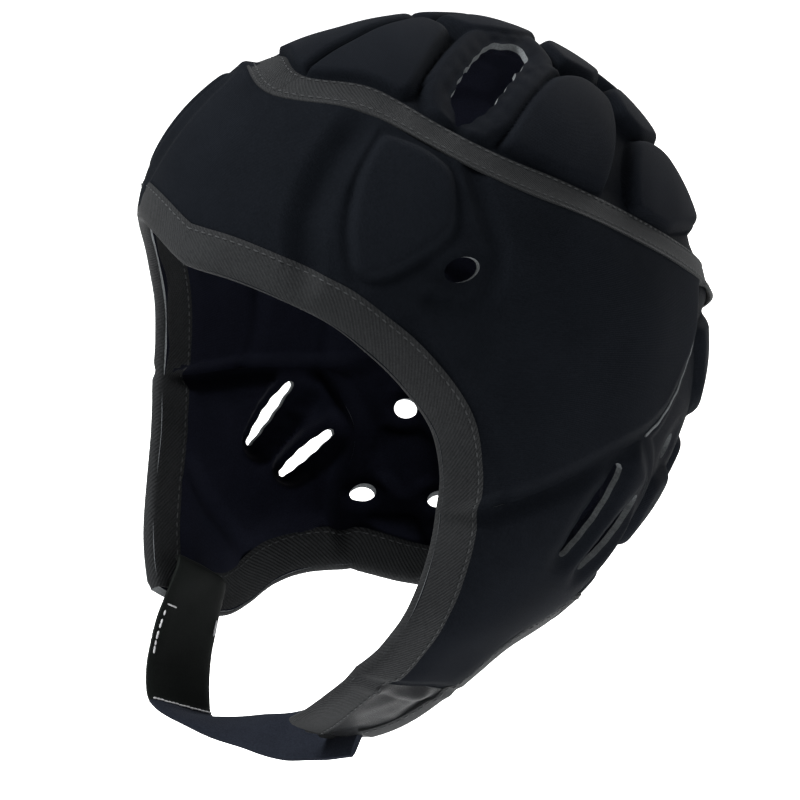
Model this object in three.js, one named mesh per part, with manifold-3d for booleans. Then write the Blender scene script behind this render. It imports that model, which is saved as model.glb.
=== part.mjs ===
// A padded rugby scrum cap, as it is worn, with its chin strap closed.
// Millimetres, +Z up. The cap faces -Y and the wearer's left is +X. The origin is on the
// inside of the crown, where the top of the head meets it.
//
// Every piece lies on one head surface. A place on it is an azimuth (0 at the brow, 90 at the
// wearer's left ear, 180 at the nape), an elevation above the middle of the head, both in
// degrees, and a depth in mm below the surface. Each panel is a patch between four edge curves.
import * as THREE from 'three';
import { mergeVertices } from 'three/addons/utils/BufferGeometryUtils.js';
import Module from 'manifold-3d';

// Head sizes
const BREADTH = 188;
const LENGTH = 236;
const CROWN_RISE = 118;
const TWIST = 0.0021;

// The wearer's right flap hangs out, forward and down below this height
const HANG = new THREE.Vector3(-5.5, -6, -6.5);
const HANG_TOP = -140;
const HANG_HEIGHT = 65;
const HANG_SIDE = -5;
const HANG_BREADTH = 35;
const HANG_BACK = 45;
const HANG_LENGTH = 60;

// Walls and clearances
const WALL = 10;
const BOUND_EDGE_WALL = 5;
const PAD_RISE = 6.5;
const GAP = 0.35;

// Soft rounding of the panels near their edges
const BOUND_EDGE_SINK = 1.6;
const BOUND_EDGE_REACH = 20;
const SEAM_SINK = 2.6;
const SEAM_REACH = 9;
const CREASE_SINK = 2.4;
const CREASE_REACH = 7;
const GROOVE_SINK = 3.5;
const GROOVE_REACH = 9;
const CROWN_SEAM_REACH = 16;
const NAPE_PAD_RISE = 4;
const TAB_SINK = 2.4;
const TAB_BLEND = 5;

// Tapes and strap
const CROWN_TAPE_WIDTH = 13;
const BINDING_WIDTH = 13;
const TAPE_THICKNESS = 1;
const STRAP_WIDTH = 26;
const STRAP_THICKNESS = 3;
const TAB_WALL = 2.5;

// Holes
const SLOT_WIDTH = 6.5;
const TEMPLE_VENT_LENGTH = 11;
const TEMPLE_VENT_HEIGHT = 8;
const NAPE_VENT_WIDTH = 9;
const CUT_OVERRUN = 6;

// How far the head surface stands out, as a share of the ellipsoid of the three head sizes.
// A row for every 15 degrees of elevation, from the chin to the crown.
const SHAPE = [
  { front: 1.15, temple: 1.12, side: 1.06, behind: 0.985, back: 0.97 },
  { front: 1.15, temple: 1.12, side: 1.05, behind: 0.965, back: 0.955 },
  { front: 1.11, temple: 1.08, side: 0.997, behind: 0.945, back: 0.942 },
  { front: 1.053, temple: 1.055, side: 0.97, behind: 0.939, back: 0.945 },
  { front: 1.011, temple: 1.02, side: 0.988, behind: 0.965, back: 0.959 },
  { front: 0.957, temple: 0.948, side: 0.973, behind: 0.986, back: 0.975 },
  { front: 0.919, temple: 0.905, side: 0.947, behind: 0.978, back: 0.982 },
  { front: 0.913, temple: 0.906, side: 0.944, behind: 0.98, back: 0.988 },
  { front: 0.939, temple: 0.95, side: 0.96, behind: 0.982, back: 0.99 },
  { front: 0.969, temple: 0.979, side: 0.978, behind: 0.993, back: 1.0 },
  { front: 0.989, temple: 0.991, side: 0.99, behind: 1.008, back: 1.013 },
  { front: 1.004, temple: 0.998, side: 0.997, behind: 1.016, back: 1.023 },
  { front: 1.018, temple: 1.018, side: 1.018, behind: 1.018, back: 1.018 },
];
const COLUMNS = ['front', 'temple', 'side', 'behind', 'back'];
const ROW_STEP = 15;
const COLUMN_STEP = 45;

// Elevation of the seam between crown and band, at each column
const SEAM = { front: 63, temple: 62, side: 40.5, behind: 11, back: 2 };

// Edge curves on the wearer's left, as [azimuth, elevation]
const BROW_EDGE = [[0, 27], [14, 28], [27, 27], [39, 24], [47.6, 19.2], [55, 13], [61.2, 4.6], [63, -4], [62.5, -10]];
const JAW_EDGE = [[62.5, -10], [61, -18], [57, -28], [51, -36], [46, -40]];
const TONGUE_EDGE = [[46, -40], [38, -47], [27, -55], [15, -61]];
const CREASE = [[62.5, -10], [73, -11], [86, -10.5], [98, -10], [107, -10]];
const SIDE_REAR_EDGE = [[107, -10], [114, -8.5], [121, -4], [127, 1], [130, 8]];
const NAPE_SIDE_EDGE = [[107, -10], [113, -20], [112.8, -27], [108.5, -37], [107.5, -46], [110, -52]];
const NAPE_HEM = [[110, -52], [125, -57], [142, -60], [160, -61], [180, -61]];
const CHEEK_HEM = [[110, -52], [98, -50.5], [88, -50.5], [80, -55], [76, -59]];
const FLAP_END = [[46, -40], [53, -44], [62, -49], [70, -55], [76, -59]];
const TAB_HEM = [[76, -59], [68, -63.5], [57, -67], [44, -69]];
const TAB_BARE_EDGE = [[44, -69], [33, -69.5], [22, -67]];
const TONGUE_TIP = [[15, -61], [22, -67]];

// The wearer's right flap is shorter, and narrows to the width of the strap
const STRAP_JAW_EDGE = [[62.5, -10], [61, -18], [57, -28], [51, -36], [45, -43]];
const STRAP_CHEEK_HEM = [[110, -52], [98, -50.5], [88, -51], [78, -53], [69, -53.5], [62, -52]];
const STRAP_FLAP_END = [[45, -43], [62, -52]];
const SEAM_CORNER = 76;
const SIDE_REAR_TOP = 129;
const SEAM_DEGREES_PER_MM = 0.53;

// Outlines of the raised crown pads and the crown vent on the wearer's left, in degrees to
// the left of the crown's top and behind it
const CROWN_PADS = [
  [[1.3, -22], [1.3, 2], [9, 3], [15, -5.5], [20.5, -13], [17, -19.5], [9, -22]],
  [[1.3, 5.5], [9.5, 6.5], [12.5, 14], [11, 21], [1.3, 22]],
  [[40, -4], [27.5, 15.5], [27, 22], [31.5, 26.5], [38, 25], [46, 20.5], [52, 15], [48, 5]],
  [[15, 20.5], [22, 20], [24, 27], [18, 33], [10, 29.5], [10, 24.5]],
  [[27, 30.5], [34, 30], [37, 34], [32.5, 43], [25, 43.5], [21.5, 36]],
  [[40, 31.5], [50, 25], [56, 23.5], [58.5, 32], [51, 48], [44, 56], [37.5, 52], [36.5, 43]],
  [[1.3, 34], [12, 34.5], [19, 40], [20, 51], [12, 55], [1.3, 55]],
  [[1.3, 59], [14, 59.5], [26, 53], [33, 51], [37, 58], [31, 68], [16, 75], [1.3, 77]],
];
const CROWN_VENT = [[32.5, -10.5], [26, -8], [20, 0], [14.5, 8.5], [15.5, 14.5], [20, 13.5], [25, 8], [32, -3]];

// Raised pads on the nape panel, as azimuths and elevations
const NAPE_PADS = [
  [[133, 1], [134, -12], [139, -16], [154, -16], [157, -12], [157, 0]],
  [[161, -1], [161, -13], [165, -17], [178.6, -17], [178.6, -1]],
  [[119, -22.5], [127.5, -22.5], [132.5, -27], [132, -34.5], [126, -38.5], [119, -36], [116.5, -29]],
  [[140, -21], [156, -21], [157, -38], [150, -42], [139, -37]],
  [[161, -22], [178.6, -22], [178.6, -41], [165, -43], [161, -38]],
  [[115, -43], [128, -44], [133, -52], [118, -50.5]],
  [[139, -45], [158, -46], [158, -55.5], [139, -55]],
  [[163, -47], [178.6, -46], [178.6, -56], [163, -56]],
];

// Raised pad on each temple
const TEMPLE_PAD = [[48, 55], [60, 52], [67, 47], [66, 37], [60, 34], [52, 31], [45, 31], [42, 38], [43, 48]];
const TEMPLE_PAD_RISE = 2.2;
const CROWN_PAD_TOP = 0.3;
const NAPE_PAD_TOP = 0.2;
const PAD_SHOULDER_SIZE = 0.97;
const PAD_TOP_SIZE = 0.78;

// Pressed grooves of the forehead
const FOREHEAD_GROOVE = [[40, 58], [34, 49], [32, 42], [32, 36], [34, 30]];

// Holes on the wearer's left
const EAR_SLOTS = [
  { top: [100, -13.5], bottom: [89.5, -24] },
  { top: [108.5, -22.5], bottom: [97, -30] },
];
const TEMPLE_VENT = [67.5, 30.5];
const NAPE_VENTS = [[124.5, -18], [114, -37], [134.5, -39.5]];

// Front and rear edge of the chin strap, from the inside of the wearer's right flap down to the
// fold and up to the left tab, as shares of BREADTH, LENGTH and CROWN_RISE
const STRAP_FRONT = [
  [-0.253, -0.244, -1.489], [-0.237, -0.241, -1.571], [-0.249, -0.266, -1.779], [-0.229, -0.287, -1.9],
  [-0.197, -0.294, -1.943], [-0.151, -0.286, -1.977], [-0.098, -0.277, -2.016], [-0.031, -0.265, -2.033],
  [0.036, -0.244, -2.022], [0.09, -0.217, -2.0],
];
const STRAP_REAR = [
  [-0.269, -0.144, -1.566], [-0.24, -0.142, -1.658], [-0.237, -0.165, -1.843], [-0.21, -0.186, -1.964],
  [-0.189, -0.192, -2.005], [-0.16, -0.177, -2.004], [-0.117, -0.164, -1.991], [-0.064, -0.16, -1.973],
  [-0.002, -0.149, -1.936], [0.051, -0.132, -1.89],
];

// Mesh steps: a panel has some along each edge curve, and some across
const CREASE_STEPS = 5;
const BROW_STEPS = 11;
const BAND_ROWS = 6;
const NAPE_HEM_STEPS = 6;
const NAPE_SIDE_STEPS = 5;
const CHEEK_HEM_STEPS = 5;
const TAB_HEM_STEPS = 5;
const TONGUE_STEPS = 6;
const CROWN_AROUND = 36;
const CROWN_RINGS = 7;
const CROWN_TAPE_STEPS = 36;
const STRAP_STEPS = 22;
const TAB_BARE_STEPS = 3;
const SIMPLIFY_TOLERANCE = 0.2;
const NUDGE = 0.002;
const HALF = 0.5;
const VENT_SIDES = 8;

const DEGREE = Math.PI / 180;
const CENTRE_DEPTH = CROWN_RISE * SHAPE[SHAPE.length - 1].front - WALL;

// The cubic that passes through four evenly spaced values
function cubic(before, start, end, after, t) {
  const slope = (end - before) / 2;
  const bend = before - 2.5 * start + 2 * end - after / 2;
  const turn = 1.5 * (start - end) + (after - before) / 2;
  return start + t * (slope + t * (bend + t * turn));
}

// A value held at the five columns, at any azimuth
function atAzimuth(row, azimuth) {
  const turned = Math.abs(((azimuth + 180) % 360 + 360) % 360 - 180);
  const place = turned / COLUMN_STEP;
  const last = COLUMNS.length - 1;
  const first = Math.min(Math.floor(place), last - 1);
  const value = (index) => row[COLUMNS[last - Math.abs(last - Math.abs(index))]];
  return cubic(value(first - 1), value(first), value(first + 1), value(first + 2), place - first);
}

function shapeShare(azimuth, elevation) {
  const place = (elevation + 90) / ROW_STEP;
  const last = SHAPE.length - 1;
  const first = Math.min(Math.max(Math.floor(place), 0), last - 1);
  const value = (index) => atAzimuth(SHAPE[Math.min(Math.max(index, 0), last)], azimuth);
  return cubic(value(first - 1), value(first), value(first + 1), value(first + 2), place - first);
}

function untwistedPoint(azimuth, elevation) {
  const share = shapeShare(azimuth, elevation);
  const level = Math.cos(elevation * DEGREE) * share;
  return new THREE.Vector3(
    BREADTH / 2 * level * Math.sin(azimuth * DEGREE),
    -LENGTH / 2 * level * Math.cos(azimuth * DEGREE),
    CROWN_RISE * share * Math.sin(elevation * DEGREE) - CENTRE_DEPTH,
  );
}

// The outward normal of the head surface, from two chords across the place
function surfaceNormal(azimuth, elevation) {
  const step = 0.5;
  const high = Math.min(elevation + step, 89.9);
  const low = high - 2 * step;
  const middle = (high + low) / 2;
  const wide = step / Math.max(Math.cos(middle * DEGREE), 0.02);
  const up = untwistedPoint(azimuth, high).sub(untwistedPoint(azimuth, low));
  const round = untwistedPoint(azimuth + wide, middle).sub(untwistedPoint(azimuth - wide, middle));
  return round.cross(up).normalize();
}

function ramp(share) {
  const held = Math.min(Math.max(share, 0), 1);
  return held * held * (3 - 2 * held);
}
function twisted(point) {
  point.z += TWIST * point.x * point.y;
  const low = ramp((HANG_TOP - point.z) / HANG_HEIGHT);
  const aside = ramp((HANG_SIDE - point.x) / HANG_BREADTH);
  const ahead = ramp((HANG_BACK - point.y) / HANG_LENGTH);
  return point.addScaledVector(HANG, low * aside * ahead);
}

function place(azimuth, elevation, depth) {
  const normal = elevation > 89.5 ? new THREE.Vector3(0, 0, 1) : surfaceNormal(azimuth, elevation);
  return untwistedPoint(azimuth, elevation).addScaledVector(normal, -depth);
}

function anglesOf(point) {
  const x = point.x / (BREADTH / 2);
  const y = point.y / (LENGTH / 2);
  const z = (point.z + CENTRE_DEPTH) / CROWN_RISE;
  return [Math.atan2(x, -y) / DEGREE, Math.atan2(z, Math.hypot(x, y)) / DEGREE];
}

function seamElevation(azimuth) {
  return atAzimuth(SEAM, azimuth);
}

const sideRearEdge = [...SIDE_REAR_EDGE, [SIDE_REAR_TOP, seamElevation(SIDE_REAR_TOP)]];

function seamPoints(from, to, count = 40) {
  return Array.from({ length: count + 1 }, (unused, index) => {
    const azimuth = from + (to - from) * index / count;
    return [azimuth, seamElevation(azimuth)];
  });
}

const mirrored = (points) => points.map(([azimuth, elevation]) => [-azimuth, elevation]);
const reversed = (points) => [...points].reverse();

// A curve through [azimuth, elevation] points, that gives a point for each share of its length
function edgeCurve(points) {
  const curve = new THREE.SplineCurve(points.map((spot) => new THREE.Vector2(...spot)));
  return (share) => {
    const point = curve.getPointAt(Math.min(Math.max(share, 0), 1));
    return [point.x, point.y];
  };
}

// Edge curves end to end. Each takes up its own count of mesh steps, so corners fall on a step.
function chain(...links) {
  const curves = links.map(([points]) => edgeCurve(points));
  const total = links.reduce((sum, [, steps]) => sum + steps, 0);
  const walk = (share) => {
    let left = Math.min(Math.max(share, 0), 1) * total;
    let index = 0;
    while (index < links.length - 1 && left > links[index][1]) {
      left -= links[index][1];
      index += 1;
    }
    return curves[index](left / links[index][1]);
  };
  walk.steps = total;
  return walk;
}

// The patch between four edge curves: top and bottom run along, left and right run down
function patch(top, bottom, left, right) {
  return (u, v) => {
    const corners = [top(0), top(1), bottom(0), bottom(1)];
    return [0, 1].map((k) => (
      (1 - v) * top(u)[k] + v * bottom(u)[k] + (1 - u) * left(v)[k] + u * right(v)[k]
      - (1 - u) * (1 - v) * corners[0][k] - u * (1 - v) * corners[1][k]
      - (1 - u) * v * corners[2][k] - u * v * corners[3][k]
    ));
  };
}

// Points along a curve on the surface, for measuring how near an edge is
function samples(points, count = 70) {
  const curve = edgeCurve(points);
  return Array.from({ length: count + 1 }, (unused, index) => untwistedPoint(...curve(index / count)));
}

function distanceTo(line, point) {
  return Math.sqrt(Math.min(...line.map((sample) => sample.distanceToSquared(point))));
}

// Falls smoothly from 1 at an edge to 0 at its reach
function nearness(distance, reach) {
  return ramp(1 - distance / reach);
}

const bothSides = (points) => [...samples(points), ...samples(mirrored(points))];
const STRAP_SIDE_LINES = [STRAP_JAW_EDGE, STRAP_CHEEK_HEM].flatMap((points) => samples(mirrored(points)));
const TAB_SIDE_LINES = [JAW_EDGE, TONGUE_EDGE, CHEEK_HEM, TAB_HEM].flatMap((points) => samples(points));
const BOUND_LINES = [...[BROW_EDGE, NAPE_HEM].flatMap(bothSides), ...STRAP_SIDE_LINES, ...TAB_SIDE_LINES];
const GROOVE_LINES = bothSides(FOREHEAD_GROOVE);
const CREASE_LINES = [CREASE, SIDE_REAR_EDGE, NAPE_SIDE_EDGE].flatMap(bothSides);
CREASE_LINES.push(...samples(FLAP_END), ...samples(mirrored(STRAP_FLAP_END)));

// The unpadded tab starts where a flap's padding ends
const lineElevation = (azimuth) => {
  const [startAzimuth, startElevation] = FLAP_END[0];
  const [endAzimuth, endElevation] = FLAP_END[FLAP_END.length - 1];
  const slope = (endElevation - startElevation) / (endAzimuth - startAzimuth);
  return startElevation + (azimuth - startAzimuth) * slope;
};

function tabShare(azimuth, elevation) {
  const turned = ((azimuth + 180) % 360 + 360) % 360 - 180;
  if (turned < 0) return 0;
  return Math.min(Math.max((lineElevation(turned) - elevation) / TAB_BLEND, 0), 1);
}

function seamDistance(azimuth, elevation) {
  const here = untwistedPoint(azimuth, elevation);
  return here.distanceTo(untwistedPoint(azimuth, seamElevation(azimuth)));
}

// How deep the outer and inner faces of the padded panels lie at a place
function panelDepths(azimuth, elevation) {
  const here = untwistedPoint(azimuth, elevation);
  const bound = nearness(distanceTo(BOUND_LINES, here), BOUND_EDGE_REACH);
  const crease = nearness(distanceTo(CREASE_LINES, here), CREASE_REACH);
  const seam = nearness(seamDistance(azimuth, elevation), SEAM_REACH);
  const groove = nearness(distanceTo(GROOVE_LINES, here), GROOVE_REACH);
  const sinks = [BOUND_EDGE_SINK * bound, CREASE_SINK * crease, SEAM_SINK * seam, GROOVE_SINK * groove];
  const outer = Math.max(...sinks);
  const inner = WALL - (WALL - BOUND_EDGE_WALL - BOUND_EDGE_SINK) * Math.max(bound, crease, seam);
  const tab = tabShare(azimuth, elevation);
  return [
    THREE.MathUtils.lerp(outer, TAB_SINK, tab),
    THREE.MathUtils.lerp(inner, TAB_SINK + TAB_WALL, tab),
  ];
}

// The crown's ground between its pads, which rises to the seam
function crownDepths(azimuth, elevation) {
  const [, edgeInner] = panelDepths(azimuth, seamElevation(azimuth));
  const seam = nearness(seamDistance(azimuth, elevation), CROWN_SEAM_REACH);
  return [THREE.MathUtils.lerp(PAD_RISE, SEAM_SINK, seam), THREE.MathUtils.lerp(WALL, edgeInner, seam)];
}

// The nape's ground between its pads
function napeDepths(azimuth, elevation) {
  const [outer, inner] = panelDepths(azimuth, elevation);
  const here = untwistedPoint(azimuth, elevation);
  const edge = Math.max(
    nearness(distanceTo(BOUND_LINES, here), BOUND_EDGE_REACH),
    nearness(distanceTo(CREASE_LINES, here), CREASE_REACH),
    nearness(seamDistance(azimuth, elevation), CROWN_SEAM_REACH),
  );
  return [THREE.MathUtils.lerp(NAPE_PAD_RISE, outer, edge), inner];
}

// A closed solid between two grids of points, outer and inner. A wrapped grid joins round.
function shellGeometry(outer, inner, wrapped = false) {
  const along = outer.length;
  const across = outer[0].length;
  const positions = [];
  for (const grid of [outer, inner]) {
    for (const row of grid) {
      for (const point of row) positions.push(point.x, point.y, point.z);
    }
  }
  const at = (side, i, j) => side * along * across + (i % along) * across + j;
  const faces = [];
  const quad = (a, b, c, d) => faces.push(a, b, c, a, c, d);
  const lastRow = wrapped ? along : along - 1;
  for (let i = 0; i < lastRow; i += 1) {
    for (let j = 0; j < across - 1; j += 1) {
      quad(at(0, i, j), at(0, i, j + 1), at(0, i + 1, j + 1), at(0, i + 1, j));
      quad(at(1, i, j), at(1, i + 1, j), at(1, i + 1, j + 1), at(1, i, j + 1));
    }
    quad(at(0, i, 0), at(0, i + 1, 0), at(1, i + 1, 0), at(1, i, 0));
    quad(at(0, i, across - 1), at(1, i, across - 1), at(1, i + 1, across - 1), at(0, i + 1, across - 1));
  }
  if (!wrapped) {
    for (let j = 0; j < across - 1; j += 1) {
      quad(at(0, 0, j), at(1, 0, j), at(1, 0, j + 1), at(0, 0, j + 1));
      quad(at(0, along - 1, j), at(0, along - 1, j + 1), at(1, along - 1, j + 1), at(1, along - 1, j));
    }
  }
  const geometry = new THREE.BufferGeometry();
  geometry.setAttribute('position', new THREE.Float32BufferAttribute(positions, 3));
  geometry.setIndex(faces);
  return geometry;
}

const wasm = await Module();
wasm.setup();

// A solid for joining and cutting, from a closed geometry whichever way its faces point
function solidOf(geometry) {
  const bare = geometry.clone();
  bare.deleteAttribute('normal');
  bare.deleteAttribute('uv');
  const merged = mergeVertices(bare, 1e-4);
  const corners = merged.index.array;
  const points = merged.attributes.position;
  const a = new THREE.Vector3();
  const b = new THREE.Vector3();
  const c = new THREE.Vector3();
  const kept = [];
  let volume = 0;
  for (let i = 0; i < corners.length; i += 3) {
    const [p, q, r] = [corners[i], corners[i + 1], corners[i + 2]];
    if (p === q || q === r || r === p) continue;
    a.fromBufferAttribute(points, p);
    b.fromBufferAttribute(points, q);
    c.fromBufferAttribute(points, r);
    volume += a.dot(b.cross(c));
    kept.push([p, q, r]);
  }
  const ordered = volume < 0 ? kept.map(([p, q, r]) => [p, r, q]) : kept;
  const mesh = new wasm.Mesh({
    numProp: 3,
    vertProperties: new Float32Array(points.array),
    triVerts: new Uint32Array(ordered.flat()),
  });
  return new wasm.Manifold(mesh);
}

// The whole cap as it hangs is a little twisted, so every solid is twisted on its way out
function geometryOf(solid) {
  const mesh = solid.getMesh();
  const count = mesh.vertProperties.length / mesh.numProp;
  const positions = new Float32Array(count * 3);
  const point = new THREE.Vector3();
  for (let i = 0; i < count; i += 1) {
    point.fromArray(mesh.vertProperties, i * mesh.numProp);
    twisted(point).toArray(positions, i * 3);
  }
  const geometry = new THREE.BufferGeometry();
  geometry.setAttribute('position', new THREE.BufferAttribute(positions, 3));
  geometry.setIndex(new THREE.BufferAttribute(new Uint32Array(mesh.triVerts), 1));
  return geometry;
}

// The length in mm of a line on the surface
function lineLength(spotAt, count = 24) {
  const shares = Array.from({ length: count + 1 }, (unused, index) => index / count);
  const points = shares.map((share) => untwistedPoint(...spotAt(share)));
  return points.slice(1).reduce((sum, point, index) => sum + point.distanceTo(points[index]), 0);
}

// A padded panel over a patch, drawn in from its edges by the gap
function panelSolid(patchAt, along, across, depthsAt = panelDepths) {
  const lines = [(share) => patchAt(share, HALF), (share) => patchAt(HALF, share)];
  const inset = lines.map((line) => GAP / lineLength(line));
  const drawnIn = (share, by) => share + (1 - 2 * share) * by;
  const outer = [];
  const inner = [];
  for (let i = 0; i <= along; i += 1) {
    outer.push([]);
    inner.push([]);
    for (let j = 0; j <= across; j += 1) {
      const [azimuth, elevation] = patchAt(drawnIn(i / along, inset[0]), drawnIn(j / across, inset[1]));
      const [shallow, deep] = depthsAt(azimuth, elevation);
      outer[i].push(place(azimuth, elevation, shallow));
      inner[i].push(place(azimuth, elevation, deep));
    }
  }
  return solidOf(shellGeometry(outer, inner));
}

// A closed solid of rings over an outline: a prism through the wall, or a pad whose rings pull
// in as they rise. An outline in the crown's own map is turned to surface places as it goes.
const onSurface = (spot) => spot;
const fromCrownMap = ([left, behind]) => [Math.atan2(left, -behind) / DEGREE, 90 - Math.hypot(left, behind)];

function ringSolid(outline, rings, toPlace = onSurface) {
  const sides = outline.length;
  const centre = [0, 1].map((k) => outline.reduce((sum, spot) => sum + spot[k] / sides, 0));
  const positions = [];
  for (const { size, depthAt } of rings) {
    for (const spot of outline) {
      const pulled = toPlace([0, 1].map((k) => centre[k] + (spot[k] - centre[k]) * size));
      positions.push(...place(...pulled, depthAt(...pulled)).toArray());
    }
  }
  const lastRing = rings.length - 1;
  const middle = toPlace(centre);
  positions.push(...place(...middle, rings[0].depthAt(...middle)).toArray());
  positions.push(...place(...middle, rings[lastRing].depthAt(...middle)).toArray());
  const bottomCentre = rings.length * sides;
  const faces = [];
  for (let i = 0; i < sides; i += 1) {
    const next = (i + 1) % sides;
    for (let ring = 0; ring < lastRing; ring += 1) {
      const low = ring * sides;
      const high = low + sides;
      faces.push(low + i, low + next, high + next, low + i, high + next, high + i);
    }
    faces.push(bottomCentre, next, i, bottomCentre + 1, lastRing * sides + i, lastRing * sides + next);
  }
  const geometry = new THREE.BufferGeometry();
  geometry.setAttribute('position', new THREE.Float32BufferAttribute(positions, 3));
  geometry.setIndex(faces);
  return solidOf(geometry);
}

// A pad stands in the middle of the wall below it, rises to a shoulder and ends at its top
const padRings = (depthsAt, shoulder, top) => [
  { size: 1, depthAt: (...spot) => depthsAt(...spot).reduce((sum, depth) => sum + depth / 2, 0) },
  { size: PAD_SHOULDER_SIZE, depthAt: () => shoulder },
  { size: PAD_TOP_SIZE, depthAt: () => top },
];
const CUT_RINGS = [WALL + CUT_OVERRUN, -CUT_OVERRUN].map((depth) => ({ size: 1, depthAt: () => depth }));

// A long solid of one section carried along stations. Each station turns a section point into space.
function sweptSolid(section, stations, closed = false) {
  const sides = section.length;
  const positions = stations.flatMap((station) => section.flatMap((spot) => station(spot).toArray()));
  const faces = [];
  const spans = closed ? stations.length : stations.length - 1;
  for (let i = 0; i < spans; i += 1) {
    const here = i * sides;
    const there = ((i + 1) % stations.length) * sides;
    for (let k = 0; k < sides; k += 1) {
      const next = (k + 1) % sides;
      faces.push(here + k, there + k, there + next, here + k, there + next, here + next);
    }
  }
  if (!closed) {
    const flat = section.map(([across, side, deeper]) => new THREE.Vector2(across, side * WALL + deeper));
    const last = (stations.length - 1) * sides;
    const turns = THREE.ShapeUtils.isClockWise(flat);
    for (const [a, b, c] of THREE.ShapeUtils.triangulateShape(flat, [])) {
      if (turns) {
        faces.push(c, b, a, last + a, last + b, last + c);
      } else {
        faces.push(a, b, c, last + c, last + b, last + a);
      }
    }
  }
  const geometry = new THREE.BufferGeometry();
  geometry.setAttribute('position', new THREE.Float32BufferAttribute(positions, 3));
  geometry.setIndex(faces);
  return solidOf(geometry);
}

// Stations along an edge: a section point says how far in from the edge it lies, and how far
// from the panel's outer face (side 0) or inner face (side 1) it stands, deeper being positive
function edgeStations(curve, overrun = 0) {
  return Array.from({ length: curve.steps + 1 }, (unused, index) => {
    const share = index / curve.steps;
    const [azimuth, elevation] = curve(share);
    const here = untwistedPoint(azimuth, elevation);
    const [before, after] = [share - NUDGE, share + NUDGE].map((near) => untwistedPoint(...curve(near)));
    const along = after.sub(before).normalize();
    if (index === 0) here.addScaledVector(along, -overrun);
    if (index === curve.steps) here.addScaledVector(along, overrun);
    const inward = along.cross(surfaceNormal(azimuth, elevation)).normalize();
    return ([inset, side, deeper]) => {
      const spot = anglesOf(here.clone().addScaledVector(inward, inset));
      return place(...spot, panelDepths(...spot)[side] + deeper);
    };
  });
}

// The folded binding of an edge: an outer and an inner flange round the panel's edge. The room
// that it takes out of the panels is the same section, grown by the gap.
const PROUD = 0.6;
const BINDING_SECTION = [
  [BINDING_WIDTH, 0, -PROUD], [-TAPE_THICKNESS, 0, -PROUD],
  [-TAPE_THICKNESS, 1, PROUD], [BINDING_WIDTH, 1, PROUD],
  [BINDING_WIDTH, 1, PROUD - TAPE_THICKNESS], [0, 1, PROUD - TAPE_THICKNESS],
  [0, 0, TAPE_THICKNESS - PROUD], [BINDING_WIDTH, 0, TAPE_THICKNESS - PROUD],
];
const ROOM = TAPE_THICKNESS - PROUD + GAP;
const BINDING_ROOM = [
  [BINDING_WIDTH + GAP, 0, -CUT_OVERRUN], [-CUT_OVERRUN, 0, -CUT_OVERRUN],
  [-CUT_OVERRUN, 1, CUT_OVERRUN], [BINDING_WIDTH + GAP, 1, CUT_OVERRUN],
  [BINDING_WIDTH + GAP, 1, -ROOM], [GAP, 1, -ROOM],
  [GAP, 0, ROOM], [BINDING_WIDTH + GAP, 0, ROOM],
];

// The far side of an outline, carried on past the nape so that azimuths keep rising
const pastNape = (points) => points.map(([azimuth, elevation]) => [360 - azimuth, elevation]);

const faceEdge = chain(
  [reversed(TONGUE_EDGE), TONGUE_STEPS], [reversed(JAW_EDGE), NAPE_SIDE_STEPS],
  [reversed(BROW_EDGE), BROW_STEPS],
  [mirrored(BROW_EDGE), BROW_STEPS], [mirrored(STRAP_JAW_EDGE), NAPE_SIDE_STEPS],
);
const hemEdge = chain(
  [pastNape(reversed(STRAP_CHEEK_HEM)), CHEEK_HEM_STEPS],
  [pastNape(NAPE_HEM), NAPE_HEM_STEPS],
  [reversed(NAPE_HEM), NAPE_HEM_STEPS], [CHEEK_HEM, CHEEK_HEM_STEPS], [TAB_HEM, TAB_HEM_STEPS],
);
const faceStations = edgeStations(faceEdge);
const hemStations = edgeStations(hemEdge);
const roomOf = (edge) => sweptSolid(BINDING_ROOM, edgeStations(edge, 4 * GAP));
const bindingRoom = roomOf(faceEdge).add(roomOf(hemEdge));

// The flat tape over the seam between crown and band, and the room it takes
function seamStation(azimuth) {
  return ([up, , deeper]) => {
    const elevation = seamElevation(azimuth) + up * SEAM_DEGREES_PER_MM;
    const depths = up > 0 ? crownDepths(azimuth, elevation) : panelDepths(azimuth, elevation);
    return place(azimuth, elevation, depths[0] + deeper);
  };
}
const seamStations = Array.from({ length: CROWN_TAPE_STEPS }, (unused, index) => (
  seamStation(360 * index / CROWN_TAPE_STEPS)
));
const halfTape = CROWN_TAPE_WIDTH / 2;
const tapeSection = (half, high, low) => [
  [-half, 0, low], [0, 0, low], [half, 0, low], [half, 0, high], [0, 0, high], [-half, 0, high],
];
const crownTape = sweptSolid(tapeSection(halfTape, -PROUD, TAPE_THICKNESS - PROUD), seamStations, true);
const tapeRoom = sweptSolid(tapeSection(halfTape + GAP, -CUT_OVERRUN, ROOM), seamStations, true);

// Holes through the wall
function slotOutline({ top, bottom }) {
  const [leanAzimuth, leanElevation] = [top[0] - bottom[0], top[1] - bottom[1]];
  const half = SLOT_WIDTH / 2 * SEAM_DEGREES_PER_MM / Math.hypot(leanAzimuth, leanElevation);
  const [side, rise] = [-leanElevation * half, leanAzimuth * half];
  const end = (spot, along) => [spot[0] + leanAzimuth * half * along, spot[1] + leanElevation * half * along];
  const beside = (spot, sign) => [spot[0] + side * sign, spot[1] + rise * sign];
  return [
    beside(bottom, -1), end(bottom, -1), beside(bottom, 1), beside(top, 1), end(top, 1), beside(top, -1),
  ];
}

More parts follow.
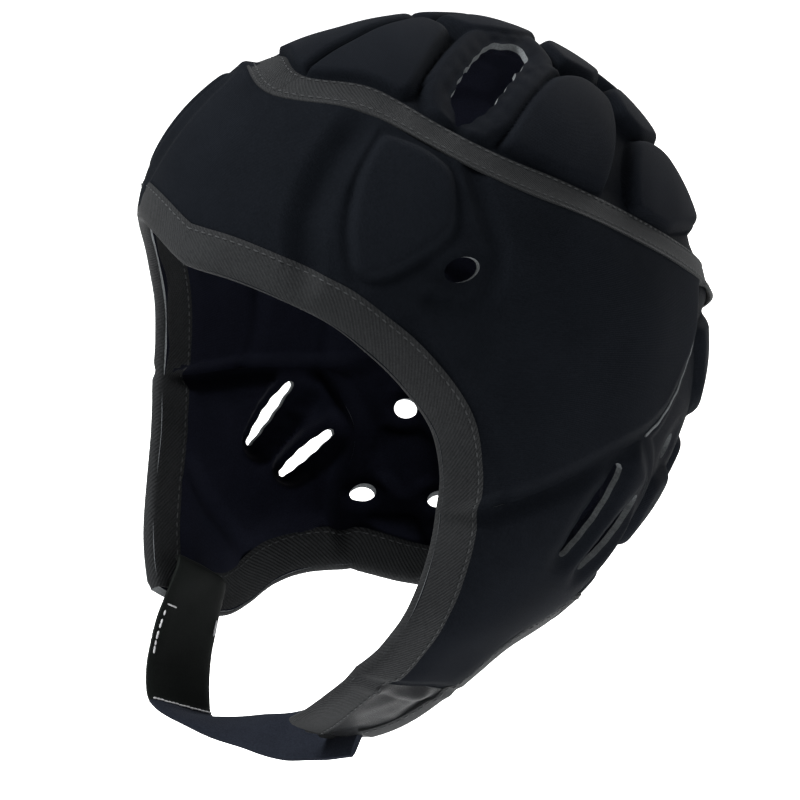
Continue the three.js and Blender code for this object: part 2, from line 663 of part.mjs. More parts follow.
function roundOutline([azimuth, elevation], length, height) {
  const sides = VENT_SIDES;
  return Array.from({ length: sides }, (unused, index) => {
    const turn = 2 * Math.PI * index / sides;
    return [
      azimuth + length / 2 * SEAM_DEGREES_PER_MM * Math.cos(turn) / Math.cos(elevation * DEGREE),
      elevation + height / 2 * SEAM_DEGREES_PER_MM * Math.sin(turn),
    ];
  });
}

const mirroredMap = (outline) => outline.map(([left, behind]) => [-left, behind]);
const cutBoth = (solid, outlines, mirror, toPlace) => outlines.reduce((whole, outline) => (
  whole.subtract(ringSolid(outline, CUT_RINGS, toPlace)).subtract(ringSolid(mirror(outline), CUT_RINGS, toPlace))
), solid);
const addBoth = (solid, outlines, rings, mirror, toPlace) => outlines.reduce((whole, outline) => (
  whole.add(ringSolid(outline, rings, toPlace)).add(ringSolid(mirror(outline), rings, toPlace))
), solid);

// Crown: rings from the seam up to the crown's top, pads on it, and a vent each side
function crownSolid() {
  const outer = [];
  const inner = [];
  for (let i = 0; i < CROWN_AROUND; i += 1) {
    const azimuth = 360 * i / CROWN_AROUND;
    const start = seamElevation(azimuth) + GAP * SEAM_DEGREES_PER_MM;
    const near = [0, SEAM_REACH, CROWN_SEAM_REACH].map((distance) => start + distance * SEAM_DEGREES_PER_MM);
    const rings = CROWN_RINGS - near.length;
    const rest = Array.from({ length: rings }, (unused, k) => near[2] + (90 - near[2]) * (k + 1) / rings);
    const levels = [...near, ...rest].reverse();
    outer.push(levels.map((elevation) => place(azimuth, elevation, crownDepths(azimuth, elevation)[0])));
    inner.push(levels.map((elevation) => place(azimuth, elevation, crownDepths(azimuth, elevation)[1])));
  }
  const ground = solidOf(shellGeometry(outer, inner, true));
  const pads = padRings(crownDepths, PAD_RISE / 2, CROWN_PAD_TOP);
  const padded = addBoth(ground, CROWN_PADS, pads, mirroredMap, fromCrownMap);
  return cutBoth(padded, [CROWN_VENT], mirroredMap, fromCrownMap).subtract(tapeRoom);
}

// Band: forehead, temples and sides, with a raised pad and a vent on each temple
function bandSolid() {
  const top = chain(
    [seamPoints(-SIDE_REAR_TOP, -SEAM_CORNER), CREASE_STEPS], [seamPoints(-SEAM_CORNER, 0), BROW_STEPS],
    [seamPoints(0, SEAM_CORNER), BROW_STEPS], [seamPoints(SEAM_CORNER, SIDE_REAR_TOP), CREASE_STEPS],
  );
  const bottom = chain(
    [reversed(mirrored(CREASE)), CREASE_STEPS], [reversed(mirrored(BROW_EDGE)), BROW_STEPS],
    [BROW_EDGE, BROW_STEPS], [CREASE, CREASE_STEPS],
  );
  const rear = edgeCurve(reversed(sideRearEdge));
  const farRear = edgeCurve(reversed(mirrored(sideRearEdge)));
  const sheet = panelSolid(patch(top, bottom, farRear, rear), bottom.steps, BAND_ROWS);
  const padded = addBoth(sheet, [TEMPLE_PAD], padRings(panelDepths, 0, -TEMPLE_PAD_RISE), mirrored);
  const vent = roundOutline(TEMPLE_VENT, TEMPLE_VENT_LENGTH, TEMPLE_VENT_HEIGHT);
  return cutBoth(padded, [vent], mirrored).subtract(tapeRoom).subtract(bindingRoom);
}

// Nape: pads over the back of the head, with three vents on each side
function napeSolid() {
  const top = edgeCurve(seamPoints(SIDE_REAR_TOP, 360 - SIDE_REAR_TOP));
  const bottom = chain([NAPE_HEM, NAPE_HEM_STEPS], [pastNape(reversed(NAPE_HEM)), NAPE_HEM_STEPS]);
  const near = chain([reversed(sideRearEdge), BAND_ROWS], [NAPE_SIDE_EDGE, NAPE_SIDE_STEPS]);
  const far = chain([pastNape(reversed(sideRearEdge)), BAND_ROWS], [pastNape(NAPE_SIDE_EDGE), NAPE_SIDE_STEPS]);
  const sheet = panelSolid(patch(top, bottom, near, far), bottom.steps, near.steps, napeDepths);
  const padded = addBoth(sheet, NAPE_PADS, padRings(napeDepths, NAPE_PAD_RISE / 2, NAPE_PAD_TOP), mirrored);
  const vents = NAPE_VENTS.map((spot) => roundOutline(spot, NAPE_VENT_WIDTH, NAPE_VENT_WIDTH));
  return cutBoth(padded, vents, mirrored).subtract(tapeRoom).subtract(bindingRoom);
}

// Cheek flap: from the crease down the jaw, with two slots over the ear
function flapSolid(jawEdge, cheekHem, end, turned) {
  const crease = edgeCurve(turned(CREASE));
  const bottom = edgeCurve(turned(end));
  const front = chain([turned(jawEdge), NAPE_SIDE_STEPS + CHEEK_HEM_STEPS]);
  const rear = chain(
    [turned(NAPE_SIDE_EDGE), NAPE_SIDE_STEPS], [turned(cheekHem), CHEEK_HEM_STEPS],
  );
  const sheet = panelSolid(patch(crease, bottom, front, rear), CREASE_STEPS, rear.steps);
  return EAR_SLOTS.reduce((whole, slot) => (
    whole.subtract(ringSolid(turned(slotOutline(slot)), CUT_RINGS))
  ), sheet.subtract(bindingRoom));
}

// Tab: the left flap's unpadded end, that takes the strap
function tabSolid() {
  const top = edgeCurve(FLAP_END);
  const bottom = edgeCurve(TONGUE_TIP);
  const front = chain([TONGUE_EDGE, TAB_HEM_STEPS + TAB_BARE_STEPS]);
  const rear = chain([TAB_HEM, TAB_HEM_STEPS], [TAB_BARE_EDGE, TAB_BARE_STEPS]);
  return panelSolid(patch(top, bottom, front, rear), CREASE_STEPS, rear.steps).subtract(bindingRoom);
}

// Strap: a flat ribbon, whose broad face looks the way the head surface does
function strapSolid() {
  const sized = ([x, y, z]) => new THREE.Vector3(x * BREADTH, y * LENGTH, z * CROWN_RISE);
  const [front, rear] = [STRAP_FRONT, STRAP_REAR].map((edge) => new THREE.CatmullRomCurve3(edge.map(sized)));
  const middle = (share) => front.getPoint(share).add(rear.getPoint(share)).multiplyScalar(HALF);
  const stations = Array.from({ length: STRAP_STEPS + 1 }, (unused, index) => {
    const share = index / STRAP_STEPS;
    const along = middle(Math.min(share + NUDGE, 1)).sub(middle(Math.max(share - NUDGE, 0))).normalize();
    const wide = front.getPoint(share).sub(rear.getPoint(share)).normalize();
    const thick = wide.clone().cross(along).normalize();
    return ([across, , rise]) => middle(share).addScaledVector(wide, across).addScaledVector(thick, rise);
  });
  const [half, rise] = [STRAP_WIDTH / 2, STRAP_THICKNESS / 2];
  return sweptSolid([[-half, 0, -rise], [half, 0, -rise], [half, 0, rise], [-half, 0, rise]], stations);
}

// The assembly
const cap = new THREE.Group();

// Each piece is one body: crumbs and pockets left by the cutting are dropped
function addPiece(name, solid, finish) {
  const bodies = solid.simplify(SIMPLIFY_TOLERANCE).decompose();
  const [body] = bodies.sort((one, other) => other.volume() - one.volume());
  const mesh = new THREE.Mesh(geometryOf(body), new THREE.MeshStandardMaterial(finish));
  mesh.name = name;
  cap.add(mesh);
}

const JERSEY = { color: 0x15171b, roughness: 0.92, metalness: 0 };
const TAPE = { color: 0x1d1e20, roughness: 0.8, metalness: 0 };
const PILE = { color: 0x1a1d24, roughness: 1, metalness: 0 };
const SATIN = { color: 0x22252a, roughness: 0.45, metalness: 0 };

addPiece('crown_panel', crownSolid(), JERSEY);
addPiece('band_panel', bandSolid(), JERSEY);
addPiece('nape_panel', napeSolid(), JERSEY);
addPiece('cheek_flap_left', flapSolid(JAW_EDGE, CHEEK_HEM, FLAP_END, (points) => points), JERSEY);
addPiece('cheek_flap_right', flapSolid(STRAP_JAW_EDGE, STRAP_CHEEK_HEM, STRAP_FLAP_END, mirrored), JERSEY);
addPiece('chin_tab', tabSolid(), SATIN);
addPiece('chin_strap', strapSolid(), PILE);
addPiece('crown_tape', crownTape, TAPE);
addPiece('face_binding', sweptSolid(BINDING_SECTION, faceStations), TAPE);
addPiece('hem_binding', sweptSolid(BINDING_SECTION, hemStations), TAPE);

export default cap;
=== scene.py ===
"""A padded rugby scrum cap in its worn shape, with the chin strap closed.

Sizes are in millimetres and become metres as each mesh is made. A place on the cap is an azimuth
(az, 0 at the brow, 90 at the wearer's left ear, 180 at the nape) and an elevation (el) in degrees,
and a depth in mm below the head surface. Every panel is a fine grid of such places.
"""
import math

import bpy
import numpy as np
from mathutils import Matrix, Vector


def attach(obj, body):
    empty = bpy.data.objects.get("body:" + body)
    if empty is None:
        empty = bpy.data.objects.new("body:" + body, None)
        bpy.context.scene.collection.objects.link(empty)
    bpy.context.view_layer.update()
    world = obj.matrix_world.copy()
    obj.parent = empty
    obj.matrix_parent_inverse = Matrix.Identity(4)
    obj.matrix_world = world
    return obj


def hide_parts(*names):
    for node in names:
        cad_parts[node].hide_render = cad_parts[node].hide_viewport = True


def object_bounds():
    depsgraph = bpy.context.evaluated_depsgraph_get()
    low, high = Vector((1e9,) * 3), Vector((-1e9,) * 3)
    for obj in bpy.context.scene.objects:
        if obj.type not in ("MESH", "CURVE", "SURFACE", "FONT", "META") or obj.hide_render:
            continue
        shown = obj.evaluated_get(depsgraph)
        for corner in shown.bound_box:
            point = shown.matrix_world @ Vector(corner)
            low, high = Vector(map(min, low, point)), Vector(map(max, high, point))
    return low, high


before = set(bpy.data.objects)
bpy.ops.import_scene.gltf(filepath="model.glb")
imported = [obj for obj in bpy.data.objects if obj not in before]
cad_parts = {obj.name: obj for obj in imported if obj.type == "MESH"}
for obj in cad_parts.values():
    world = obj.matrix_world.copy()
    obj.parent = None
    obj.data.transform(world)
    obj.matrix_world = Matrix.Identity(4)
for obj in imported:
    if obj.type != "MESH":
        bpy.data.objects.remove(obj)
cad_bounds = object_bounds()

MM = 0.001

# Head sizes
BREADTH, LENGTH, CROWN_RISE = 188.0, 236.0, 118.0
TWIST = 0.0021
HANG = np.array([-5.5, -6.0, -6.5])
HANG_TOP, HANG_HEIGHT = -140.0, 65.0
HANG_SIDE, HANG_BREADTH = -5.0, 35.0
HANG_BACK, HANG_LENGTH = 45.0, 60.0
WALL = 10.0
CROWN_GROUND = 5.2
NAPE_PAD_RISE = 4.0
TEMPLE_PAD_RISE = 2.4
BOUND_EDGE_WALL = 4.0
BOUND_EDGE_SINK, BOUND_EDGE_REACH = 1.6, 20.0
SEAM_SINK, SEAM_REACH, CROWN_SEAM_REACH = 2.6, 9.0, 16.0
CREASE_SINK, CREASE_REACH = 2.4, 7.0
GROOVE_SINK, GROOVE_REACH = 3.5, 9.0
TAB_SINK, TAB_BLEND, TAB_WALL = 2.4, 5.0, 2.0
TAPE_WIDTH, TAPE_THICKNESS = 13.0, 0.75
STRAP_WIDTH, STRAP_THICKNESS = 26.0, 2.6
FOLD = 0.37
HALF_TURN, FULL_TURN = 180, 360
COLUMN_STEP, ROW_STEP = 45, 15
AROUND = (-1, 0, 1, 2)
HIGHEST, LEAST_COSINE, NORMAL_STEP = 89.9, 0.02, 0.5
LEAST_LENGTH, EDGE_NUDGE = 1e-9, 0.002
GROOVE_FADE = 20

# Fineness of curves and grids
CURVE_STEPS, ROUGH_SAMPLES, SAMPLE_STEP, CHUNK = 40, 60, 1.0, 4000
GRID_STEP = 0.5
CROWN_SIDE, CROWN_FRONT, CROWN_REAR = 74, -34, 94
SIDE_WEIGHT, BROW_WEIGHT, REAR_WEIGHT, NAPE_WEIGHT = 110, 165, 52, 66
TAB_HEM_WEIGHT, TAB_BARE_WEIGHT = 5, 3
GRID_CELLS = {"band": (480, 84), "nape": (190, 118), "cheek": (84, 96), "tab": (60, 84)}
SHARP, SWEEP_SHARP, SMALL_SHARP, PIPING_SHARP = 48, 40, 60, 80
RIM_NUDGE, RIM_ROUNDS, RIM_MOVE, LEAST_SLOPE = 0.05, 4, 1.5, 1e-3
CORNER_BLEND, BLEND_LIMIT = 1.4, 60

# Waves of the faces: height and length in mm, and the draw's seed
WAVE_COUNT, WAVE_PACES, WAVE_PEAK = 9, (0.6, 1.5), 1.3
WAVES = {
    "crown": (0.2, 26, 1), "crown_lining": (0.15, 20, 2), "band": (0.22, 34, 3), "band_lining": (0.3, 28, 4),
    "nape": (0.16, 24, 5), "nape_lining": (0.25, 20, 6), "cheek": (0.28, 30, 7), "cheek_lining": (0.3, 22, 8),
    "tab": (0.12, 12, 10), "binding": (0.12, 22, 11), "strap": (0.3, 16, 12),
}

# Pads, puffs and folds
PAD_ROUNDNESS, SWELL_REACH = 2.3, 7
CROWN_SLOPE, CROWN_GROW, CROWN_TOP, CROWN_SWELL = 4.2, 2.6, 0.2, 0.45
COLLAR_WIDTH, COLLAR_SLOPE, COLLAR_SHARE = 10.5, 4, 0.78
TAPE_CLEARING = 3.2
TEMPLE_BLEND, TEMPLE_SLOPE, TEMPLE_GROW = 1.6, 5, 1
DITCH_PLACE, DITCH_REACH, DITCH_DEPTH = 1.5, 3.5, 0.9
CHANNEL_REACH, CHANNEL_SINK = 5.5, 1.5
RIDGE_REACH, RIDGE_SINK, RIDGE_SHARE = 6.5, 0.8, 0.6
BAND_PUFF, BAND_PUFF_REACH = 0.5, 26
FAR_SHARE, FAR_GROOVE = 0.45, 0.55
NAPE_SLOPE, NAPE_GROW, NAPE_TOP, NAPE_SWELL = 5.0, 1.2, 0.4, 0.5
NAPE_LINING_SLOPE, NAPE_LINING_GROW, NAPE_LINING_SINK, NAPE_LINING_SWELL = 8.0, 1.8, 2.4, 0.6
CHEEK_BOUND_REACH, CHEEK_CREASE_REACH, CHEEK_LINING_PUFF = 24, 12, 0.6
LINING_PUFF, LINING_LEVEL, LINING_SEAM_REACH = 1.5, 0.35, 6.5
TAB_FREE_REACH = 9
TAB_SWAYS = [(0.35, 5.2, 0.7), (0.2, 11, 0)]
TAB_FOLDS = [(0.7, 2.3, 1, 0), (0.25, 4.9, -0.7, 1)]
TAB_FADE = (0.55, 0.45, 7, 2)

# Cloth colour from the shape: painted shade darkens grooves and low places, and high places are lighter,
# partly as wear and partly as painted light. A base, then the shares of pad height and swell, or of depth.
# The tape, the piping and the cut edges have one level each
CROWN_RELIEF, NAPE_RELIEF = (0, 0.75, 0.25), (0.15, 0.6, 0.25)
BAND_RELIEF, CHEEK_RELIEF, TAB_RELIEF = (0.55, -0.16), (0.5, -0.14), (0.5, 0.4)
TAPE_RELIEF, PIPING_RELIEF, EDGE_RELIEF = 0.6, 0.8, 0.5

# Beside the holes: how far and how deep the cloth turns in, and how thin the wall gets
CROWN_ROLL, BAND_ROLL, NAPE_ROLL, CHEEK_ROLL = (4, 0.8), (5, 1.6), (4, 1.0), (5, 1.0)
THIN_REACH, CROWN_THIN_REACH = 8.0, 7
THIN_MIDDLE, THIN_SINK, THIN_SHARE, THIN_WALL, THIN_EXTRA = 0.45, 2.2, 0.6, 2.4, 1.2
VENT_GROW, VENT_BLEND = 0.4, 0.8
FRAYS = [(0.25, 0, 0.9), (0.18, 1.3, 0.6)]
OVAL_SHARE = 0.84
FAR_GAPE, SLOT_END, SLOT_WAVE, SLOT_PACE = 1.75, 0.62, 0.16, 25

# Stitches, tape and strap
STITCH_LENGTH, STITCH_RADIUS, STITCH_PITCH = 2.1, 0.32, 3.0
STITCH_PROFILE = [(-0.3, 0.8), (0.0, 1.0), (0.3, 0.8)]
STITCH_TURNS = (0.25, 0.75, 1.25, 1.75)
STITCH_INSET, STITCH_LIFT, STITCH_AHEAD = 1.7, 0.08, 0.5
UPPER_INSET, LOWER_INSET, TAPE_STITCH_LIFT = 1.6, 2.0, 0.1
TAPE_STATIONS, LINE_STATIONS, FACE_STATIONS, HEM_STATIONS = 420, 900, 431, 401
CORD_RADIUS, CORD_SIDES, CORD_OUT = 0.75, 6, 0.2
RIM_SHARES, RIM_STATIONS = (0.02, 0.97), 150
RIM_WAVES = [(0.16, 60), (0.2, 23)]
STRAP_STATIONS, STRAP_ACROSS, STRAP_THINNING, STRAP_EDGE_POWER = 190, 21, 0.6, 10
LOCK_ROWS = [
    (0.15, 0.15, 0.62, 0.9), (0.158, 0.225, 0.92, 0.92), (0.15, 0.172, -0.9, -0.9),
    (FOLD + 0.015, FOLD - 0.01, -0.94, 0.94),
]
LOCKS_ACROSS, LOCKS_ALONG, LEAST_LOCKS = 9, 120, 4
LOCK_LENGTH, LOCK_RADIUS, LOCK_LIFT = 1.9, 0.34, 0.1

# Room and lights: shares of back, right and up that a light comes from, its distance, size and power
FLOOR_SIZE, FLOOR_DROP, FLOOR_COLOUR, FLOOR_ROUGHNESS = 12.0, 0.16, (0.93, 0.93, 0.93), 0.9
FLOOR_GLOW, ROOM_LIGHT = 0.74, 0.36
LIGHT_TARGET = Vector((0, 0, -0.11))
LIGHTS = {
    "key": ((0.45, -0.9, 1.25), 1.5, 0.7, 50),
    "fill": ((0.9, 1.2, 0.1), 1.7, 1.2, 9),
    "rim": ((-0.8, 0.7, 1.0), 1.5, 0.9, 28),
}

# Degrees to mm on the surface: up, round the sides, and over the crown's map
UP_MM = 1.95
ROUND_MM = 1.62
SIDE_MAP_MM = np.array([ROUND_MM, UP_MM])
CROWN_MAP_MM = np.array([1.66, 2.06])

# The head surface, a row every 15 degrees from chin to crown, a column every 45 from brow to nape
SHAPE = np.array([
    [1.15, 1.12, 1.06, 0.985, 0.97],
    [1.15, 1.12, 1.05, 0.965, 0.955],
    [1.11, 1.08, 0.997, 0.945, 0.942],
    [1.053, 1.055, 0.97, 0.939, 0.945],
    [1.011, 1.02, 0.988, 0.965, 0.959],
    [0.957, 0.948, 0.973, 0.986, 0.975],
    [0.919, 0.905, 0.947, 0.978, 0.982],
    [0.913, 0.906, 0.944, 0.98, 0.988],
    [0.939, 0.95, 0.96, 0.982, 0.99],
    [0.969, 0.979, 0.978, 0.993, 1.0],
    [0.989, 0.991, 0.99, 1.008, 1.013],
    [1.004, 0.998, 0.997, 1.016, 1.023],
    [1.018, 1.018, 1.018, 1.018, 1.018],
])
SEAM = np.array([63, 62, 40.5, 11, 2.0])
CENTRE_DEPTH = CROWN_RISE * SHAPE[-1, 0] - WALL

# Edge curves on the wearer's left
BROW_EDGE = [
    [0, 27], [14, 28], [27, 27], [39, 24], [47.6, 19.2], [55, 13], [61.2, 4.6], [63, -4], [62.5, -10],
]
JAW_EDGE = [[62.5, -10], [61, -18], [57, -28], [51, -36], [46, -40]]
TONGUE_EDGE = [[46, -40], [38, -47], [27, -55], [15, -61]]
CREASE = [[62.5, -10], [73, -11], [86, -10.5], [98, -10], [107, -10]]
SIDE_REAR_TOP = 129
SIDE_REAR_EDGE = [[107, -10], [114, -8.5], [121, -4], [127, 1], [130, 8]]
NAPE_SIDE_EDGE = [[107, -10], [113, -20], [112.8, -27], [108.5, -37], [107.5, -46], [110, -52]]
NAPE_HEM = [[110, -52], [125, -57], [142, -60], [160, -61], [180, -61]]
CHEEK_HEM = [[110, -52], [98, -50.5], [88, -50.5], [80, -55], [76, -59]]
FLAP_END = [[46, -40], [53, -44], [62, -49], [70, -55], [76, -59]]
TAB_HEM = [[76, -59], [68, -63.5], [57, -67], [44, -69]]
TAB_BARE_EDGE = [[44, -69], [33, -69.5], [22, -67]]
TONGUE_TIP = [[15, -61], [22, -67]]
STRAP_JAW_EDGE = [[62.5, -10], [61, -18], [57, -28], [51, -36], [45, -43]]
STRAP_CHEEK_HEM = [[110, -52], [98, -50.5], [88, -51], [78, -53], [69, -53.5], [62, -52]]
STRAP_FLAP_END = [[45, -43], [62, -52]]
SEAM_CORNER = 76

# Raised pads and the vent of the crown, in degrees left of the crown's top and behind it
CROWN_PADS = [
    [[1.3, -24], [1.3, 2], [9, 3], [15, -5.5], [21, -13], [18, -20.5], [10, -24]],
    [[1.3, 5.5], [9.5, 6.5], [12.5, 14], [11, 21], [1.3, 22]],
    [[40, -4], [27.5, 15.5], [27, 22], [31.5, 26.5], [38, 25], [46, 20.5], [52, 15], [48, 5]],
    [[15, 20.5], [22, 20], [24, 27], [18, 33], [10, 29.5], [10, 24.5]],
    [[27, 30.5], [34, 30], [37, 34], [32.5, 43], [25, 43.5], [21.5, 36]],
    [[40, 31.5], [50, 25], [56, 23.5], [58.5, 32], [51, 48], [44, 56], [37.5, 52], [36.5, 43]],
    [[1.3, 34], [12, 34.5], [19, 40], [20, 51], [12, 55], [1.3, 55]],
    [[1.3, 59], [14, 59.5], [26, 53], [33, 51], [37, 58], [31, 68], [16, 75], [1.3, 77]],
]
CROWN_VENT = [[32.5, -10.5], [26, -8], [20, 0], [14.5, 8.5], [15.5, 14.5], [20, 13.5], [25, 8], [32, -3]]
NAPE_PADS = [
    [[133, 1], [134, -12], [139, -16], [154, -16], [157, -12], [157, 0]],
    [[161, -1], [161, -13], [165, -17], [178.6, -17], [178.6, -1]],
    [[119, -22.5], [127.5, -22.5], [132.5, -27], [132, -34.5], [126, -38.5], [119, -36], [116.5, -29]],
    [[140, -21], [156, -21], [157, -38], [150, -42], [139, -37]],
    [[161, -22], [178.6, -22], [178.6, -41], [165, -43], [161, -38]],
    [[115, -43], [128, -44], [133, -52], [118, -50.5]],
    [[139, -45], [158, -46], [158, -55.5], [139, -55]],
    [[163, -47], [178.6, -46], [178.6, -56], [163, -56]],
]
TEMPLE_PAD = [[48, 55], [60, 52], [67, 47], [66, 37], [60, 34], [52, 31], [45, 31], [42, 38], [43, 48]]
FOREHEAD_GROOVE = [[40, 58], [34, 49], [32, 42], [32, 36], [34, 30]]
TEMPLE_CHANNEL = [[72, 47], [73.5, 40], [75, 32], [73, 27], [68, 25], [60, 27]]
SIDE_RIDGE = [[56, 24], [62, 15], [70, 3], [73, -3], [74, -10]]
LINING_SEAMS = [
    [[99, -13], [101, -20], [104, -32], [104, -44], [103, -50]], [[66, -26], [74, -38], [80, -46], [84, -51]],
    [[72, 40], [84, 22], [90, 4], [88, -9]], [[105, 18], [108, 4], [106, -8]],
    [[107, -44], [122, -43], [138, -45], [158, -44], [178, -44]],
]
EAR_SLOTS = [[[100, -13.5], [89.5, -24]], [[108.5, -22.5], [97, -30]]]
SLOT_WIDTH = 4.6
TEMPLE_VENT = [67.5, 30.5]
TEMPLE_VENT_RADII = [5.4, 4.0]
NAPE_VENTS = [[124.5, -18], [114, -37], [134.5, -39.5]]
NAPE_VENT_RADIUS = 4.2

# Front and rear edge of the chin strap, from the inside of the wearer's right flap down to the
# fold and up to the left tab, as shares of the three head sizes
STRAP_FRONT = [
    [-0.242, -0.242, -1.542], [-0.237, -0.241, -1.571], [-0.249, -0.266, -1.779], [-0.229, -0.287, -1.9],
    [-0.197, -0.294, -1.943], [-0.151, -0.286, -1.977], [-0.098, -0.277, -2.016], [-0.031, -0.265, -2.033],
    [0.036, -0.244, -2.022], [0.09, -0.217, -2.0], [0.148, -0.19, -1.962],
]
STRAP_REAR = [
    [-0.25, -0.143, -1.626], [-0.24, -0.142, -1.658], [-0.237, -0.165, -1.843], [-0.21, -0.186, -1.964],
    [-0.189, -0.192, -2.005], [-0.16, -0.177, -2.004], [-0.117, -0.164, -1.991], [-0.064, -0.16, -1.973],
    [-0.002, -0.149, -1.936], [0.051, -0.132, -1.89], [0.108, -0.117, -1.852],
]

# Camera
VIEW_AZIMUTH, VIEW_ELEVATION, VIEW_ROLL = 48.8, 15.5, 0.74
VIEW_DISTANCE = 1484.0
FOCAL_PIXELS = 4333.0
FARTHEST = 100
IMAGE_PIXELS = 800.0
CENTRE_PIXEL = (404.0, 361.0)
SENSOR = 36.0


# Head surface
def cubic(before, start, end, after, t):
    slope = (end - before) / 2
    bend = before - 2.5 * start + 2 * end - after / 2
    turn = 1.5 * (start - end) + (after - before) / 2
    return start + t * (slope + t * (bend + t * turn))


def signed(az):
    """The same azimuth between -180 and 180."""
    return (az + HALF_TURN) % FULL_TURN - HALF_TURN


def at_azimuth(rows, az):
    """Values held at the columns, read at any azimuth. rows is one row, or one for each azimuth."""
    turned = np.abs(signed(az)) / COLUMN_STEP
    last = SHAPE.shape[1] - 1
    first = np.minimum(np.floor(turned).astype(int), last - 1)
    rows = np.broadcast_to(rows, turned.shape + (last + 1,))

    def value(index):
        column = last - np.abs(last - np.abs(index))
        return np.take_along_axis(rows, column[..., None], -1)[..., 0]

    return cubic(value(first - 1), value(first), value(first + 1), value(first + 2), turned - first)


def shape_share(az, el):
    level = (el + 90) / ROW_STEP
    last = len(SHAPE) - 1
    first = np.clip(np.floor(level).astype(int), 0, last - 1)
    values = [at_azimuth(SHAPE[np.clip(first + step, 0, last)], az) for step in AROUND]
    return cubic(*values, level - first)


def surface_point(az, el):
    share = shape_share(az, el)
    a, e = np.radians(az), np.radians(el)
    level = np.cos(e) * share
    return np.stack([
        BREADTH / 2 * level * np.sin(a),
        -LENGTH / 2 * level * np.cos(a),
        CROWN_RISE * share * np.sin(e) - CENTRE_DEPTH,
    ], -1)


def unit(vectors):
    return vectors / np.maximum(np.linalg.norm(vectors, axis=-1, keepdims=True), LEAST_LENGTH)


def surface_normal(az, el):
    high = np.minimum(el + NORMAL_STEP, HIGHEST)
    low = high - 2 * NORMAL_STEP
    middle = (high + low) / 2
    wide = NORMAL_STEP / np.maximum(np.cos(np.radians(middle)), LEAST_COSINE)
    up = surface_point(az, high) - surface_point(az, low)
    round_ = surface_point(az + wide, middle) - surface_point(az - wide, middle)
    return unit(np.cross(round_, up))


def place(az, el, depth):
    az, el = np.asarray(az, float), np.asarray(el, float)
    depth = np.broadcast_to(depth, az.shape)
    return surface_point(az, el) - surface_normal(az, el) * depth[..., None]


def angles_of(points):
    x, y = points[..., 0] / (BREADTH / 2), points[..., 1] / (LENGTH / 2)
    z = (points[..., 2] + CENTRE_DEPTH) / CROWN_RISE
    return np.degrees(np.arctan2(x, -y)), np.degrees(np.arctan2(z, np.hypot(x, y)))


def seam_elevation(az):
    return at_azimuth(SEAM, np.asarray(az, float))


def from_crown_map(left, behind):
    return np.degrees(np.arctan2(left, -behind)), 90 - np.hypot(left, behind)


# Edge curves
def mirrored(points):
    return [[-a, e] for a, e in points]


def past_nape(points):
    return [[FULL_TURN - a, e] for a, e in points]


def seam_points(start, end):
    azs = np.linspace(start, end, CURVE_STEPS + 1)
    return np.stack([azs, seam_elevation(azs)], -1).tolist()


REAR_POINTS = SIDE_REAR_EDGE + [[SIDE_REAR_TOP, float(seam_elevation(SIDE_REAR_TOP))]]


def smooth_through(known, count):
    """Points evenly spaced by share along a smooth curve through known places."""
    known = np.array(known, float)
    last = len(known) - 1
    t = np.linspace(0, last, count)
    first = np.minimum(np.floor(t).astype(int), last - 1)
    return cubic(*[known[np.clip(first + step, 0, last)] for step in AROUND], (t - first)[:, None])


def run_along(points):
    """The way along a line of points, from 0."""
    return np.concatenate([[0], np.cumsum(np.linalg.norm(np.diff(points, axis=0), axis=1))])


def edge_curve(points):
    """A smooth curve through points, read at shares of its length."""
    fine = smooth_through(points, CURVE_STEPS * (len(points) - 1) + 1)
    run = run_along(fine)
    run /= run[-1]
    return lambda share: np.stack([np.interp(share, run, fine[:, k]) for k in (0, 1)], -1)


def chain(*links):
    """Edge curves end to end, each taking up a share of the way by its weight."""
    curves = [edge_curve(points) for points, _ in links]
    bounds = np.cumsum([0] + [weight for _, weight in links], dtype=float)
    bounds /= bounds[-1]

    def walk(share):
        share = np.clip(np.asarray(share, float), 0, 1)
        spots = np.zeros(share.shape + (2,))
        for index, curve in enumerate(curves):
            start, end = bounds[index], bounds[index + 1]
            here = (share >= start) if index else (share >= 0)
            local = np.clip((share - start) / (end - start), 0, 1)
            spots = np.where(here[..., None], curve(local), spots)
        return spots

    return walk


def patch(top, bottom, left, right, along, across):
    """A grid of azimuths and elevations between four edge curves."""
    u = np.linspace(0, 1, along + 1)
    v = np.linspace(0, 1, across + 1)
    U, V = u[:, None, None], v[None, :, None]
    ends = np.array([0.0, 1.0])
    t, b = top(ends), bottom(ends)
    spots = (
        (1 - V) * top(u)[:, None] + V * bottom(u)[:, None] + (1 - U) * left(v)[None] + U * right(v)[None]
        - (1 - U) * (1 - V) * t[0] - U * (1 - V) * t[1] - (1 - U) * V * b[0] - U * V * b[1]
    )
    return spots[..., 0], spots[..., 1]


# Distances on the surface
def samples(points):
    curve = edge_curve(points)
    rough = surface_point(*curve(np.linspace(0, 1, ROUGH_SAMPLES)).T)
    length = np.linalg.norm(np.diff(rough, axis=0), axis=1).sum()
    return surface_point(*curve(np.linspace(0, 1, int(length / SAMPLE_STEP) + 2)).T)


def both_sides(points):
    return np.concatenate([samples(points), samples(mirrored(points))])


def distance_to(line, points):
    """How far each point is from a finely sampled line."""
    flat = points.reshape(-1, 3)
    result = np.empty(len(flat))
    for start in range(0, len(flat), CHUNK):
        part = flat[start:start + CHUNK]
        squares = (part ** 2).sum(1)[:, None] + (line ** 2).sum(1)[None] - 2 * part @ line.T
        result[start:start + CHUNK] = np.sqrt(np.maximum(squares.min(1), 0))
    return result.reshape(points.shape[:-1])


def smooth_step(share):
    share = np.clip(share, 0, 1)
    return share * share * (3 - 2 * share)


def nearness(distance, reach):
    return smooth_step(1 - distance / reach)


def close_to(line, points, reach):
    return nearness(distance_to(line, points), reach)


def mix(a, b, share):
    return a + (b - a) * share


